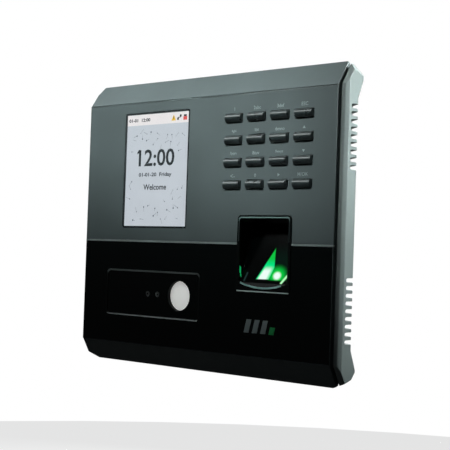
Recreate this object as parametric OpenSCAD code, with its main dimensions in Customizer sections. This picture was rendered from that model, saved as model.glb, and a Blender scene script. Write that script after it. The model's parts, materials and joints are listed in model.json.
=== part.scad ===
/* [Body] */
// Overall width of the terminal, mm
body_w = 168.4; // [150:0.1:210]
// Overall height of the terminal, mm
body_h = 148; // [145:0.1:190]
// Overall depth from the wall to the key tops, mm
total_d = 32.2; // [31.5:0.1:42]
// Height of the sloping band above the flat face, mm
top_band_h = 11.5; // [8:0.1:14]
// How far the top band leans back, mm
top_band_d = 7.8; // [5:0.1:9]
// Height of the sloping band below the flat face, mm
low_band_h = 10.6; // [8:0.1:14]
// How far the bottom band leans back, mm
low_band_d = 6; // [5:0.1:8]
// Width of the housing rim to the right of the cover, mm
rim_w = 3.4; // [2.8:0.1:5]
// Chamfer along the rim's front edge, mm
rim_chamfer = 1.5; // [0.5:0.1:2]
// Gap of the groove between rim and cover, mm
groove_w = 1.9; // [0.3:0.1:2.4]
// Depth of the side wall where the vents are, mm
side_d = 8.4; // [7.5:0.1:10]
// Depth of the side wall at its four ears, mm
ear_d = 12.3; // [11:0.1:14]
// Height of the vented stretch of the side wall, mm
scallop_h = 113; // [105:1:120]
// Width of the corner cut at the top right, mm
corner_top_w = 4.6; // [3:0.1:8]
// Width of the corner cut at the top left, mm
corner_left_w = 2.5; // [2:0.1:8]
// Height of the corner cut at the top, mm
corner_top_h = 4.6; // [3:0.1:6]
// Width of the corner cut at the bottom, mm
corner_low_w = 7.4; // [3:0.1:9]
// Height of the corner cut at the bottom, mm
corner_low_h = 2.8; // [2:0.1:5]
// Fall of the side wall's top edge per mm towards the rear
edge_fall = 0.3; // [0.1:0.05:0.5]
// Wall thickness of the housing, mm
wall = 2.2; // [1.6:0.1:2.8]
// Thickness of the front cover, mm
cover_t = 2.6; // [2.2:0.1:3]

/* [Rear box] */
// Width of the box behind the slopes, mm
rear_w = 132; // [124:1:150]
// Height of the box behind the slopes, mm
rear_h = 114; // [108:1:124]
// Depth from the face to where the slopes end, mm
slope_d = 20.6; // [19:0.1:22]
// Gap between the housing back and the wall plate, mm
plate_gap = 0.3; // [0.2:0.1:1]

/* [Vents] */
// Number of slots in each group
vent_n = 9; // [5:1:9]
// Height of one slot, mm
vent_h = 1.9; // [1.2:0.1:2.2]
// Spacing of the slots, mm
vent_pitch = 3.45; // [3.2:0.05:3.6]
// Height of the first slot of each group from the middle, mm
vent_z0 = 25.2; // [22:0.1:26]
// Depth from the face to the front end of a slot, mm
vent_front = 3.1; // [2.9:0.1:4]
// Length of a slot front to back, mm
vent_len = 11; // [7:0.1:12]

/* [Screen] */
// Width of the lit picture, mm
screen_w = 43.2; // [38:0.1:50]
// Height of the lit picture, mm
screen_h = 57.6; // [50:0.1:60]
// Height from the flat face's top edge to the picture, mm
screen_top = 6.9; // [6:0.1:9]
// Black border of the window around the picture, mm
window_border = 1.3; // [1:0.1:2.5]
// Thickness of the window, mm
window_t = 1; // [0.8:0.1:1.2]
// Thickness of the display module, mm
lcd_t = 2.7; // [2:0.1:3.2]
// Border of the display module beside the picture, mm
lcd_side = 3.4; // [3:0.1:4]
// Foot of the display module under the picture, mm
lcd_foot = 7.6; // [5:0.1:8]

/* [Keys] */
// Width of one key, mm
key_w = 10.4; // [8:0.1:12.6]
// Height of one key, mm
key_h = 4; // [3.5:0.1:5.5]
// Spacing of the key columns, mm
key_px = 14; // [13.6:0.1:15]
// Spacing of the key rows, mm
key_pz = 10.8; // [9:0.1:11.5]
// How far a key stands out of the face, mm
key_out = 1.9; // [1.2:0.1:2.5]
// How far a key goes in, mm
key_travel = 0.8; // [0.4:0.1:0.9]
// Gap around a key in its hole, mm
key_gap = 0.25; // [0.15:0.05:0.4]
// Height from the flat face's top edge to the first row's middle, mm
key_top = 12; // [10:0.1:14]

/* [Lower panel] */
// Height of the gloss panel, mm
panel_h = 52.7; // [48:0.1:56]
// Thickness of the gloss panel, mm
panel_t = 1.2; // [0.8:0.1:1.4]
// Height of the light trim line above it, mm
trim_h = 0.9; // [0.6:0.1:1.6]
// Width of the camera window, mm
cam_w = 66.5; // [60:0.1:70]
// Height of the camera window, mm
cam_h = 23.8; // [20:0.1:28]
// Distance from the panel's left edge to the camera window, mm
cam_left = 17.5; // [12:0.1:22]
// Distance between the two lenses, mm
lens_gap = 6.9; // [6.4:0.1:9]
// Radius of the white flash disc, mm
flash_r = 7.8; // [6:0.1:9]

/* [Finger sensor] */
// Width of the finger guide, mm
guide_w = 32.2; // [28:0.1:34]
// Height of the finger guide, mm
guide_h = 36.3; // [34:0.1:38]
// How far the guide rises above the trim line, mm
guide_rise = 14; // [11:0.1:15]
// Wall of the guide around the finger space, mm
guide_wall = 1.7; // [1.4:0.1:2.4]
// Depth of the finger space at its top end, mm
guide_deep = 10.6; // [8:0.1:11]
// Width of the sensing glass, mm
glass_w = 18; // [15:0.1:20]
// Length of the sensing glass up the slope, mm
glass_l = 21; // [18:0.1:23]

/* [Wall plate] */
// Width of the wall plate, mm
plate_w = 112; // [104:1:120]
// Height of the wall plate, mm
plate_h = 100; // [92:1:104]
// Thickness of the wall plate, mm
plate_t = 1.2; // [1:0.1:1.2]
// Distance between the wall screws across, mm
wall_hole_px = 84; // [70:1:90]
// Distance between the wall screws up and down, mm
wall_hole_pz = 60; // [50:1:64]
// Radius of the wall screw holes, mm
wall_hole_r = 2.3; // [1.6:0.1:2.6]
// How far the terminal lifts to come off its hooks, mm
lift = 6; // [5:0.5:7]

/* [Hidden] */
$fn = 48;
e = 0.02;
fit = 0.1;

// main planes and outlines
yf = -(total_d - key_out);
hw = body_w / 2;
hh = body_h / 2;
flat_top = hh - top_band_h;
flat_low = -hh + low_band_h;
cover_hw = hw - rim_w - groove_w;
back_y = -plate_t - plate_gap;
rear_in = back_y - wall;
ys = yf + slope_d;
inner_slope = 0.6;

// the face: screen on the left, keys on the right, the spare width shared between the gaps
keypad_w = 3 * key_px + key_w;
spare = 2 * cover_hw - screen_w - keypad_w;
screen_x = -cover_hw + spare * 0.3786 + screen_w / 2;
screen_z = flat_top - screen_top - screen_h / 2;
key_x0 = cover_hw - spare * 0.2096 - keypad_w + key_w / 2;
key_z0 = flat_top - key_top;
key_cx = key_x0 + 1.5 * key_px;
key_cz = key_z0 - 1.5 * key_pz;
panel_top = flat_low + panel_h;
trim_z0 = panel_top + 0.1;
trim_z1 = trim_z0 + trim_h;
panel_low = flat_low + 0.3;
panel_x1 = cover_hw - 0.4;
guide_x = key_cx - 0.3;
guide_z1 = trim_z0 + guide_rise;
guide_z0 = guide_z1 - guide_h;
cam_x0 = -hw + cam_left;
cam_z = (panel_top + panel_low) / 2 - 0.3;
flash_x = cam_x0 + cam_w - 14.2;
lens_x = cam_x0 + 34;

// inner stack, front to back
lcd_y = yf + cover_t + fit;
key_flange_t = 0.8;
key_brim = min(0.9, (key_px - key_w) / 2 - 0.15);
key_flange_y = yf + cover_t + fit;
key_stem_y = key_flange_y + key_flange_t + 1.4;
dome_y = key_stem_y + key_travel + 0.06;
mat_y = dome_y + 0.3;
mat_t = 0.8;
pcb_t = 1.6;
keyboard_y = mat_y + mat_t;
main_y = yf + 12;
main_x0 = -59;
main_x1 = 19;
main_z0 = -50;
main_z1 = 50;
main_back = main_y + pcb_t;
screw_x = hw - 26.2;
screw_z = hh - 10.4;
screw_seat = yf + 11.4;
post_in = 4;

// finger slope: from the front lip to the deep end
guide_in_w = guide_w - 2 * guide_wall;
gz1 = guide_z1 - guide_wall;
gz0 = guide_z0 + 2.2;
slope_len = sqrt(pow(gz1 - gz0, 2) + pow(guide_deep, 2));
tilt = atan(guide_deep / (gz1 - gz0));
glass_t = 1.5;
guide_floor = 1.6;

// wall plate
tab_w = 12;
tab_t = 1.2;
lip_h = 4.6;
hook_x = 30;
hook_z = [22, -34];
bay_x0 = -49;
bay_x1 = 21;
bay_z0 = -42;
bay_z1 = -16;
lock_z = -rear_h / 2;
flange_z = lock_z - 0.3;
flange_t = 1.2;
lock_y = -5.6;
lock_r = 1.5;
run = 0.05;
switch_x = 26;
switch_z = 44;
spk_r = 11.4;
spk_x = rear_w / 2 - wall - spk_r - 2;
spk_z = rear_h / 2 - wall - spk_r - 3;

module box(x0, x1, y0, y1, z0, z1) translate([x0, y0, z0]) cube([x1 - x0, y1 - y0, z1 - z0]);
module ycyl(x, z, y0, y1, r) translate([x, y0, z]) rotate([-90, 0, 0]) cylinder(h = y1 - y0, r = r);
module side_prism(pts, w) translate([-w / 2, 0, 0]) rotate([90, 0, 90]) linear_extrude(height = w) polygon(pts);
module front_prism(pts, y0, y1) translate([0, y1, 0]) rotate([90, 0, 0]) linear_extrude(height = y1 - y0) polygon(pts);
module plan_prism(pts, z0, z1) translate([0, 0, z0]) linear_extrude(height = z1 - z0) polygon(pts);
module rr(x0, x1, z0, z1, r, y0, y1) {
  translate([0, y1, 0]) rotate([90, 0, 0]) linear_extrude(height = y1 - y0) union() {
    translate([x0 + r, z0]) square([x1 - x0 - 2 * r, z1 - z0]);
    translate([x0, z0 + r]) square([x1 - x0, z1 - z0 - 2 * r]);
    for (x = [x0 + r, x1 - r], z = [z0 + r, z1 - r]) translate([x, z]) circle(r = r);
  }
}

// outer envelope of the terminal, without the wall plate
module envelope() {
  intersection() {
    side_prism([[yf, flat_low], [yf, flat_top], [yf + top_band_d, hh], [ys, rear_h / 2], [back_y, rear_h / 2],
      [back_y, -rear_h / 2], [ys, -rear_h / 2], [yf + low_band_d, -hh]], body_w);
    difference() {
      plan_prism([[-hw, yf], [hw - rim_chamfer, yf], [hw, yf + rim_chamfer], [hw, yf + ear_d], [rear_w / 2, ys], [rear_w / 2, back_y],
        [-rear_w / 2, back_y], [-rear_w / 2, ys], [-hw, yf + ear_d]], -hh, hh);
      for (s = [-1, 1]) intersection() {
        mirror([s < 0 ? 1 : 0, 0, 0]) plan_prism([[hw, yf + side_d], [hw + 1, yf + side_d - inner_slope],
          [hw + 1, ys], [rear_w / 2, ys]], -hh - 1, hh + 1);
        side_prism([[yf + side_d - 1.5, -scallop_h / 2 + 3.4], [yf + side_d - 1.5, scallop_h / 2 - 3.4],
          [ys, scallop_h / 2 + (slope_d - side_d) * 2.25], [ys, -scallop_h / 2 - (slope_d - side_d) * 2.25]], body_w + 4);
      }
    }
    corner_keep();
  }
}

// slanted cut of one corner, through the ridge end p1 and the side wall's edge at p2
module corner_cut(p1, p2) {
  t = atan(edge_fall);
  v = p1 - p2;
  zp = v[1] * sin(t) + v[2] * cos(t);
  translate(p2) rotate([-t, 0, 0]) rotate([0, -atan(-v[0] / zp), 0]) translate([0, -40, -40]) cube([40, 80, 80]);
}
module corner_keep() {
  difference() {
    box(-hw - 1, hw + 1, yf - 5, back_y + 1, -hh - 1, hh + 1);
    corner_cut([hw - corner_top_w, yf + top_band_d, hh], [hw, yf + 4.5, hh - corner_top_h]);
    mirror([1, 0, 0]) corner_cut([hw - corner_left_w, yf + top_band_d, hh], [hw, yf + 4.5, hh - corner_top_h]);
    for (m = [0, 1]) mirror([m, 0, 0]) mirror([0, 0, 1])
      corner_cut([hw - corner_low_w, yf + low_band_d, hh], [hw, yf + 4.5, hh - corner_low_h]);
  }
}

// inner space of the housing; a ledge on the right closes the groove from behind
module cavity() {
  ledge_x = cover_hw - 1;
  ledge_y = yf + cover_t + fit + 1.2;
  intersection() {
    side_prism([[yf + 1.6, flat_low - 0.6], [yf + 1.6, flat_top + 0.6], [yf + top_band_d - 0.5, hh - wall * 1.9],
      [ys - 0.8, rear_h / 2 - wall], [rear_in, rear_h / 2 - wall], [rear_in, -rear_h / 2 + wall],
      [ys - 0.8, -rear_h / 2 + wall], [yf + low_band_d - 0.3, -hh + wall * 1.9]], body_w - 2 * wall);
    plan_prism([[-hw + wall, yf], [ledge_x, yf], [ledge_x, ledge_y], [hw - wall, ledge_y],
      [hw - wall, yf + side_d - wall * 0.55],
      [rear_w / 2 - wall, ys - 0.9], [rear_w / 2 - wall, rear_in], [-rear_w / 2 + wall, rear_in],
      [-rear_w / 2 + wall, ys - 0.9], [-hw + wall, yf + side_d - wall * 0.55]], -hh, hh);
  }
}

// everything in front of the cover's back face
module cover_zone(x0, x1, back) {
  translate([(x0 + x1) / 2, 0, 0]) side_prism([[yf - 5, flat_low - 8], [yf - 5, flat_top + 8], [yf, hh + 12], [yf + top_band_d + back + 6, hh + 12],
    [yf + top_band_d + back, hh], [yf + back, flat_top], [yf + back, flat_low], [yf + low_band_d + back, -hh],
    [yf + low_band_d + back + 6, -hh - 12], [yf, -hh - 12]], x1 - x0);
}

module vent_cuts() {
  for (s = [-1, 1], g = [-1, 1], i = [0 : vent_n - 1]) {
    z = g * (vent_z0 + i * vent_pitch);
    x0 = s > 0 ? rear_w / 2 + 4 : -hw - 3;
    x1 = s > 0 ? hw + 3 : -rear_w / 2 - 4;
    box(x0, x1, yf + vent_front + vent_h / 2, yf + vent_front + vent_len, z - vent_h / 2, z + vent_h / 2);
    translate([x0, yf + vent_front + vent_h / 2, z]) rotate([0, 90, 0]) cylinder(h = x1 - x0, r = vent_h / 2, $fn = 24);
  }
}

module at_case_screws() for (x = [-1, 1], z = [-1, 1]) translate([x * screw_x, 0, z * screw_z]) children();
board_pts = [[main_x0 + post_in, main_z1 - post_in], [main_x1 - post_in, main_z1 - post_in],
  [main_x0 + post_in, main_z0 + post_in], [main_x1 - post_in, main_z0 + post_in]];

module wall_plate() {
  color([0.62, 0.63, 0.64]) difference() {
    union() {
      rr(-plate_w / 2, plate_w / 2, -plate_h / 2, plate_h / 2, 4, -plate_t, 0);
      for (s = [-1, 1], z = hook_z) {
        box(s * hook_x - tab_w / 2, s * hook_x + tab_w / 2, rear_in - fit - tab_t, -plate_t + e, z - tab_t, z);
        box(s * hook_x - tab_w / 2, s * hook_x + tab_w / 2, rear_in - fit - tab_t, rear_in - fit, z - tab_t, z + lip_h);
      }
      box(-11, 11, -plate_t, 0, flange_z - flange_t, -plate_h / 2 + e);
      box(-11, 11, lock_y - 3.6, 0, flange_z - flange_t, flange_z);
    }
    for (x = [-1, 1], z = [-1, 1]) ycyl(x * wall_hole_px / 2, z * wall_hole_pz / 2, -plate_t - 1, 1, wall_hole_r);
    rr(-21, 21, -41, -16, 3, -plate_t - 1, 1);
    for (s = [-1, 1], z = hook_z) box(s * hook_x - tab_w / 2 - 0.6, s * hook_x + tab_w / 2 + 0.6, -plate_t - 1, 1, z, z + lip_h + 1.4);
    translate([0, lock_y, flange_z - flange_t - 1]) cylinder(h = flange_t + 2, r = lock_r + run);
  }
}

module locking_screw() {
  color([0.75, 0.75, 0.76]) translate([0, lock_y, 0]) difference() {
    union() {
      translate([0, 0, flange_z - flange_t - 1.9]) cylinder(h = 1.9, r = 2.8);
      translate([0, 0, flange_z - flange_t - e]) cylinder(h = 7.4, r = lock_r);
    }
    translate([-0.5, -2, flange_z - flange_t - 2.4]) cube([1, 4, 1.3]);
    translate([-2, -0.5, flange_z - flange_t - 2.4]) cube([4, 1, 1.3]);
  }
}

module rear_housing() {
  color([0.36, 0.39, 0.39]) difference() {
    union() {
      difference() {
        envelope();
        cover_zone(-hw - 1, cover_hw + groove_w, cover_t + fit);
        cavity();
      }
      intersection() {
        envelope();
        at_case_screws() ycyl(0, 0, yf + 9.4, back_y, 4.6);
      }
      for (p = board_pts) ycyl(p[0], p[1], main_back, rear_in + e, 3);
      // insert for the locking screw
      intersection() {
        translate([0, lock_y, -rear_h / 2]) cylinder(h = 8, r = 3.1);
        box(-5, 5, yf, rear_in + e, -rear_h / 2, 0);
      }
    }
    vent_cuts();
    at_case_screws() {
      ycyl(0, 0, screw_seat, back_y + 2, 3.2);
      ycyl(0, 0, yf, back_y, 1.7);
      ycyl(0, 0, yf, yf + 9.35, 2.6 + fit);
    }
    for (p = board_pts) ycyl(p[0], p[1], main_back - 1, main_back + 8, 1.5 + run);
    translate([0, lock_y, -rear_h / 2 - 1]) cylinder(h = 8, r = lock_r + run);
    rr(bay_x0, bay_x1, bay_z0, bay_z1, 2.5, rear_in - 1, back_y + 1);
    for (s = [-1, 1], z = hook_z) box(s * hook_x - tab_w / 2 - 0.5, s * hook_x + tab_w / 2 + 0.5, rear_in - 1, back_y + 1, z - tab_t - lift - 1.2, z);
    ycyl(switch_x, switch_z, rear_in - 1, back_y + 1, 2.1 + run);
    for (x = [-8 : 4 : 8], z = [-8 : 4 : 8]) if (x * x + z * z < 81)
      ycyl(spk_x + x, spk_z + z, rear_in - 1, back_y + 1, 1.2);
  }
}

module front_cover() {
  color([0.22, 0.26, 0.27]) difference() {
    union() {
      intersection() {
        envelope();
        difference() {
          cover_zone(-hw - 1, cover_hw, cover_t);
          box(-hw - 2, hw, yf - 10, yf - e, -hh - 20, hh + 20);
        }
      }
      intersection() {
        envelope();
        at_case_screws() ycyl(0, 0, yf + 2, yf + 9.3, 2.6);
      }
      // posts that hold the keypad board
      for (x = [-1, 1], z = [-1, 1]) {
        ycyl(key_cx + x * (keypad_w / 2 + 3.4), key_cz + z * (1.5 * key_pz + 5.2), yf + cover_t - e, keyboard_y, 2);
        ycyl(key_cx + x * (keypad_w / 2 + 3.4), key_cz + z * (1.5 * key_pz + 5.2), yf + cover_t - e, keyboard_y + pcb_t + 0.5, 1);
      }
      // ribs beside the display
      for (s = [-1, 1]) box(screen_x + s * (screen_w / 2 + lcd_side + 0.8) - 0.6, screen_x + s * (screen_w / 2 + lcd_side + 0.8) + 0.6,
        yf + cover_t - e, lcd_y + lcd_t + 0.6, screen_z - 20, screen_z + 20);
    }
    // window rebate and picture opening
    rr(screen_x - screen_w / 2 - window_border - fit, screen_x + screen_w / 2 + window_border + fit,
      screen_z - screen_h / 2 - window_border - fit, screen_z + screen_h / 2 + window_border + fit, 1, yf - 1, yf + window_t + 0.3);
    rr(screen_x - screen_w / 2, screen_x + screen_w / 2, screen_z - screen_h / 2, screen_z + screen_h / 2, 0.5, yf - 1, yf + cover_t + 1);
    // sixteen key holes
    for (c = [0 : 3], r = [0 : 3]) rr(key_x0 + c * key_px - key_w / 2 - key_gap, key_x0 + c * key_px + key_w / 2 + key_gap,
      key_z0 - r * key_pz - key_h / 2 - key_gap, key_z0 - r * key_pz + key_h / 2 + key_gap, 0.6, yf - 1, yf + cover_t + 1);
    // seat for the gloss panel and the trim line
    box(-hw - 1, panel_x1 + fit, yf - 1, yf + panel_t, panel_low - fit, panel_top + fit);
    box(-hw - 1, cover_hw + 1, yf - 1, yf + panel_t, trim_z0 - e, trim_z1);
    // opening for the finger guide
    rr(guide_x - guide_w / 2 - fit, guide_x + guide_w / 2 + fit, guide_z0 - fit, guide_z1 + fit, 2, yf - 1, yf + cover_t + 1);
    // openings behind the camera window
    for (s = [-1, 1]) ycyl(lens_x + s * lens_gap / 2, cam_z, yf, yf + cover_t + 1, 2.6);
    ycyl(flash_x, cam_z, yf, yf + cover_t + 1, flash_r + 0.2);
    // screws
    at_case_screws() ycyl(0, 0, yf + 4.6, yf + 12, 1.45 + run);
    // fine line between flat face and top band
    box(-hw - 1, hw, yf - 1, yf + 0.5, flat_top - 0.5, flat_top - 0.1);
  }
}

module lower_panel() {
  color([0.03, 0.035, 0.035]) difference() {
    box(-hw, panel_x1, yf, yf + panel_t, panel_low, panel_top);
    rr(guide_x - guide_w / 2 - fit, guide_x + guide_w / 2 + fit, guide_z0 - fit, guide_z1 + 20, 2, yf - 1, yf + 5);
    rr(cam_x0 - fit, cam_x0 + cam_w + fit, cam_z - cam_h / 2 - fit, cam_z + cam_h / 2 + fit, 2.4, yf - 1, yf + 5);
  }
}

module trim_strip() {
  color([0.6, 0.62, 0.62]) difference() {
    box(-hw, cover_hw, yf - 0.15, yf + panel_t, trim_z0, trim_z1);
    rr(guide_x - guide_w / 2 - fit, guide_x + guide_w / 2 + fit, guide_z0 - fit, guide_z1 + fit, 2, yf - 1, yf + 5);
  }
}

module screen_window() {
  color([0.3, 0.34, 0.36]) rr(screen_x - screen_w / 2 - window_border, screen_x + screen_w / 2 + window_border,
    screen_z - screen_h / 2 - window_border, screen_z + screen_h / 2 + window_border, 0.9, yf, yf + window_t);
}

module window_gasket() {
  color([0.08, 0.08, 0.08]) difference() {
    rr(screen_x - screen_w / 2 - window_border, screen_x + screen_w / 2 + window_border,
      screen_z - screen_h / 2 - window_border, screen_z + screen_h / 2 + window_border, 0.9, yf + window_t, yf + window_t + 0.3);
    rr(screen_x - screen_w / 2, screen_x + screen_w / 2, screen_z - screen_h / 2, screen_z + screen_h / 2, 0.5, yf, yf + 5);
  }
}

module lcd_module() {
  color([0.8, 0.85, 0.9]) difference() {
    box(screen_x - screen_w / 2 - lcd_side, screen_x + screen_w / 2 + lcd_side, lcd_y, lcd_y + lcd_t,
      screen_z - screen_h / 2 - lcd_foot, screen_z + screen_h / 2 + lcd_side);
    box(screen_x - screen_w / 2 - 0.6, screen_x + screen_w / 2 + 0.6, lcd_y - 1, lcd_y + 0.3,
      screen_z - screen_h / 2 - 0.6, screen_z + screen_h / 2 + 0.6);
  }
}

// one key: ridge-shaped cap, flange behind the cover, stem to the dome
module keycap(c, r) {
  color([0.07, 0.08, 0.08]) translate([key_x0 + c * key_px, 0, key_z0 - r * key_pz]) {
    intersection() {
      side_prism([[key_flange_y + e, -key_h / 2], [yf - 0.7, -key_h / 2], [yf - key_out, -0.35], [yf - key_out, 0.15],
        [yf - 0.7, key_h / 2], [key_flange_y + e, key_h / 2]], key_w);
      plan_prism([[-key_w / 2, yf - key_out + 0.5], [-key_w / 2 + 0.4, yf - key_out], [key_w / 2 - 0.4, yf - key_out],
        [key_w / 2, yf - key_out + 0.5], [key_w / 2, key_flange_y + 1], [-key_w / 2, key_flange_y + 1]], -key_h, key_h);
    }
    box(-key_w / 2 - key_brim, key_w / 2 + key_brim, key_flange_y, key_flange_y + key_flange_t, -key_h / 2 - 0.9, key_h / 2 + 0.9);
    box(-2.2, 2.2, key_flange_y + key_flange_t - e, key_stem_y, -1.1, 1.1);
  }
}
module key_1() { keycap(0, 0); }
module key_2() { keycap(1, 0); }
module key_3() { keycap(2, 0); }
module key_esc() { keycap(3, 0); }
module key_4() { keycap(0, 1); }
module key_5() { keycap(1, 1); }
module key_6() { keycap(2, 1); }
module key_up() { keycap(3, 1); }
module key_7() { keycap(0, 2); }
module key_8() { keycap(1, 2); }
module key_9() { keycap(2, 2); }
module key_down() { keycap(3, 2); }
module key_back() { keycap(0, 3); }
module key_0() { keycap(1, 3); }
module key_next() { keycap(2, 3); }
module key_ok() { keycap(3, 3); }

module keypad_mat() {
  color([0.75, 0.75, 0.72]) {
    box(key_cx - keypad_w / 2 - 1, key_cx + keypad_w / 2 + 1, mat_y, mat_y + mat_t, key_cz - 1.5 * key_pz - 4, key_cz + 1.5 * key_pz + 4);
    for (c = [0 : 3], r = [0 : 3]) ycyl(key_x0 + c * key_px, key_z0 - r * key_pz, dome_y, mat_y + e, 2.1);
  }
}

module keypad_board() {
  color([0.1, 0.35, 0.2]) difference() {
    box(key_cx - keypad_w / 2 - 5.6, key_cx + keypad_w / 2 + 5.6, keyboard_y, keyboard_y + pcb_t,
      key_cz - 1.5 * key_pz - 7.4, key_cz + 1.5 * key_pz + 7.4);
    for (x = [-1, 1], z = [-1, 1])
      ycyl(key_cx + x * (keypad_w / 2 + 3.4), key_cz + z * (1.5 * key_pz + 5.2), keyboard_y - 1, keyboard_y + 5, 1 + run);
  }
}

module main_board() {
  color([0.08, 0.32, 0.2]) difference() {
    union() {
      box(main_x0, main_x1, main_y, main_back, main_z0, main_z1);
      box(-48, -40, main_back - e, main_back + 1, 6, 14);
      box(-14, -2, main_back - e, main_back + 1.4, -4, 8);
      for (x = [-34, -28, -22]) ycyl(x, 40, main_back - e, main_back + 6, 2.4);
      box(-4, 14, main_y - 1.6, main_y + e, 30, 36);
      box(-50, -36, main_y - 1.6, main_y + e, -22, -18);
    }
    for (p = board_pts) ycyl(p[0], p[1], main_y - 1, main_back + 1, 1.7);
  }
}

module shield_can() {
  color([0.72, 0.73, 0.74]) box(-34, -10, main_back, main_back + 2.4, 10, 32);
}

// dark guide around the sensing glass: its floor slopes from the front lip to the deep end
module guide_space(w, out) {
  intersection() {
    side_prism([[yf - out, gz0], [yf, gz0], [yf + guide_deep, gz1 - 1.5], [yf + guide_deep, gz1], [yf - out, gz1]], 2 * w);
    translate([0, yf + 20, 0]) rotate([90, 0, 0]) linear_extrude(height = 26) intersection() {
      union() {
        translate([-w / 2, gz0 - 4]) square([w, gz1 - gz0 + 2]);
        translate([-w / 2 + 2, gz0 - 4]) square([w - 4, gz1 - gz0 + 4]);
        for (s = [-1, 1]) translate([s * (w / 2 - 2), gz1 - 2]) circle(r = 2);
      }
      translate([0, gz0 + 41]) circle(r = 41, $fn = 180);
    }
  }
}

module finger_guide() {
  color([0.03, 0.03, 0.03]) translate([guide_x, 0, 0]) difference() {
    union() {
      intersection() {
        rr(-guide_w / 2, guide_w / 2, guide_z0, guide_z1, 1.9, yf - 0.5, yf + guide_deep + 3);
        side_prism([[yf - 0.5, guide_z0], [yf + cover_t + 2.4, guide_z0], [yf + guide_deep + 3, gz1 - 6],
          [yf + guide_deep + 3, guide_z1], [yf - 0.5, guide_z1]], guide_w + 1);
      }
      rr(-guide_w / 2 - 1.6, guide_w / 2 + 1.6, guide_z0 - 1.6, guide_z1 + 1.6, 2.6, yf + cover_t, yf + cover_t + 1.2);
    }
    guide_space(guide_in_w, 2);
    // pocket for the glass and the light path behind it
    translate([0, yf, gz0]) rotate([-tilt, 0, 0]) {
      translate([-glass_w / 2 - run, -e, 6]) cube([glass_w + 2 * run, glass_t, glass_l + 2 * run]);
      translate([-glass_w / 2 + 1, 0, 7]) cube([glass_w - 2, 12, glass_l - 2]);
    }
  }
}

module finger_glass() {
  color([0.2, 0.6, 0.4, 0.5]) translate([guide_x, yf, gz0]) rotate([-tilt, 0, 0])
    translate([-glass_w / 2, 0, 6 + run]) cube([glass_w, glass_t - e, glass_l]);
}

// glass block behind the sensing glass
module finger_prism() {
  color([0.5, 0.8, 0.6, 0.5]) translate([guide_x, yf, gz0]) rotate([-tilt, 0, 0])
    translate([-glass_w / 2 + 1.2, glass_t, 7.4]) rotate([90, 0, 90]) linear_extrude(height = glass_w - 2.4)
      polygon([[0, 0], [0, glass_l - 2.8], [6.5, glass_l - 6], [6.5, 4]]);
}

module finger_case() {
  color([0.12, 0.12, 0.12]) difference() {
    box(guide_x - 12, guide_x + 12, yf + guide_deep + 3, yf + 24, gz0 + 4, gz1);
    box(guide_x - 10.6, guide_x + 10.6, yf + guide_deep + 2, yf + 22.6, gz0 + 5.4, gz1 - 1.4);
  }
}

module finger_light_board() {
  color([0.1, 0.4, 0.2]) {
    box(guide_x - 9, guide_x + 9, yf + guide_deep + 3.4, yf + guide_deep + 9.4, gz1 - 2.8, gz1 - 1.5);
    for (x = [-6, 0, 6]) box(guide_x + x - 1, guide_x + x + 1, yf + guide_deep + 5, yf + guide_deep + 7, gz1 - 3.6, gz1 - 2.8 + e);
  }
}

module finger_sensor_board() {
  color([0.1, 0.35, 0.2]) {
    box(guide_x - 10, guide_x + 10, yf + 21.2, yf + 22.4, gz0 + 6, gz1 - 3);
    ycyl(guide_x, (gz0 + gz1) / 2 - 2, yf + 16, yf + 21.2 + e, 3.6);
  }
}

module camera_window() {
  color([0.02, 0.02, 0.02]) difference() {
    rr(cam_x0, cam_x0 + cam_w, cam_z - cam_h / 2, cam_z + cam_h / 2, 2.3, yf + 0.25, yf + panel_t);
    ycyl(flash_x, cam_z, yf - 1, yf + 5, flash_r - 0.2);
  }
}

module camera_board() {
  color([0.1, 0.35, 0.2]) box(lens_x - 12.7, flash_x - 11.5, yf + 7.2, yf + 8.4, cam_z - 7, cam_z + 7);
}

module camera_lenses() {
  color([0.06, 0.06, 0.08]) for (s = [-1, 1]) {
    ycyl(lens_x + s * lens_gap / 2, cam_z, yf + panel_t + 0.6, yf + 4.4, 2.2);
    box(lens_x + s * lens_gap / 2 - 3.2, lens_x + s * lens_gap / 2 + 3.2, yf + 4.4 - e, yf + 7.2, cam_z - 3.4, cam_z + 3.4);
  }
}

module flash_disc() {
  color([0.95, 0.95, 0.92]) {
    ycyl(flash_x, cam_z, yf + 2.2, yf + cover_t + 0.2, flash_r);
    ycyl(flash_x, cam_z, yf + cover_t + 0.2 - e, yf + cover_t + 1.2, flash_r + 1.4);
  }
}

module flash_board() {
  color([0.9, 0.9, 0.88]) {
    ycyl(flash_x, cam_z, yf + 6.2, yf + 7.4, 9);
    for (a = [0 : 60 : 300]) box(flash_x + 4.5 * cos(a) - 1, flash_x + 4.5 * cos(a) + 1, yf + 5.4, yf + 6.2 + e,
      cam_z + 4.5 * sin(a) - 1, cam_z + 4.5 * sin(a) + 1);
  }
}

module speaker() {
  color([0.2, 0.2, 0.2]) translate([spk_x, 0, spk_z]) {
    ycyl(0, 0, rear_in - 3.6, rear_in, spk_r);
    ycyl(0, 0, rear_in - 6.6, rear_in - 3.6 + e, 6.5);
  }
}

// foam ring that holds the speaker on the back wall
module speaker_ring() {
  color([0.1, 0.1, 0.1]) difference() {
    ycyl(spk_x, spk_z, rear_in - 3.2, rear_in, spk_r + 1.6);
    ycyl(spk_x, spk_z, rear_in - 5, rear_in + 1, spk_r + 0.02);
  }
}

module cell_holder() {
  color([0.1, 0.1, 0.1]) difference() {
    ycyl(-48, 28, main_back, main_back + 4.4, 8.2);
    ycyl(-48, 28, main_back + 0.8, main_back + 6, 6.4);
    box(-52, -44, main_back + 2, main_back + 6, 19, 28);
  }
}

module clock_cell() {
  color([0.8, 0.8, 0.8]) ycyl(-48, 28, main_back + 0.8, main_back + 4, 6.3);
}

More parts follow.
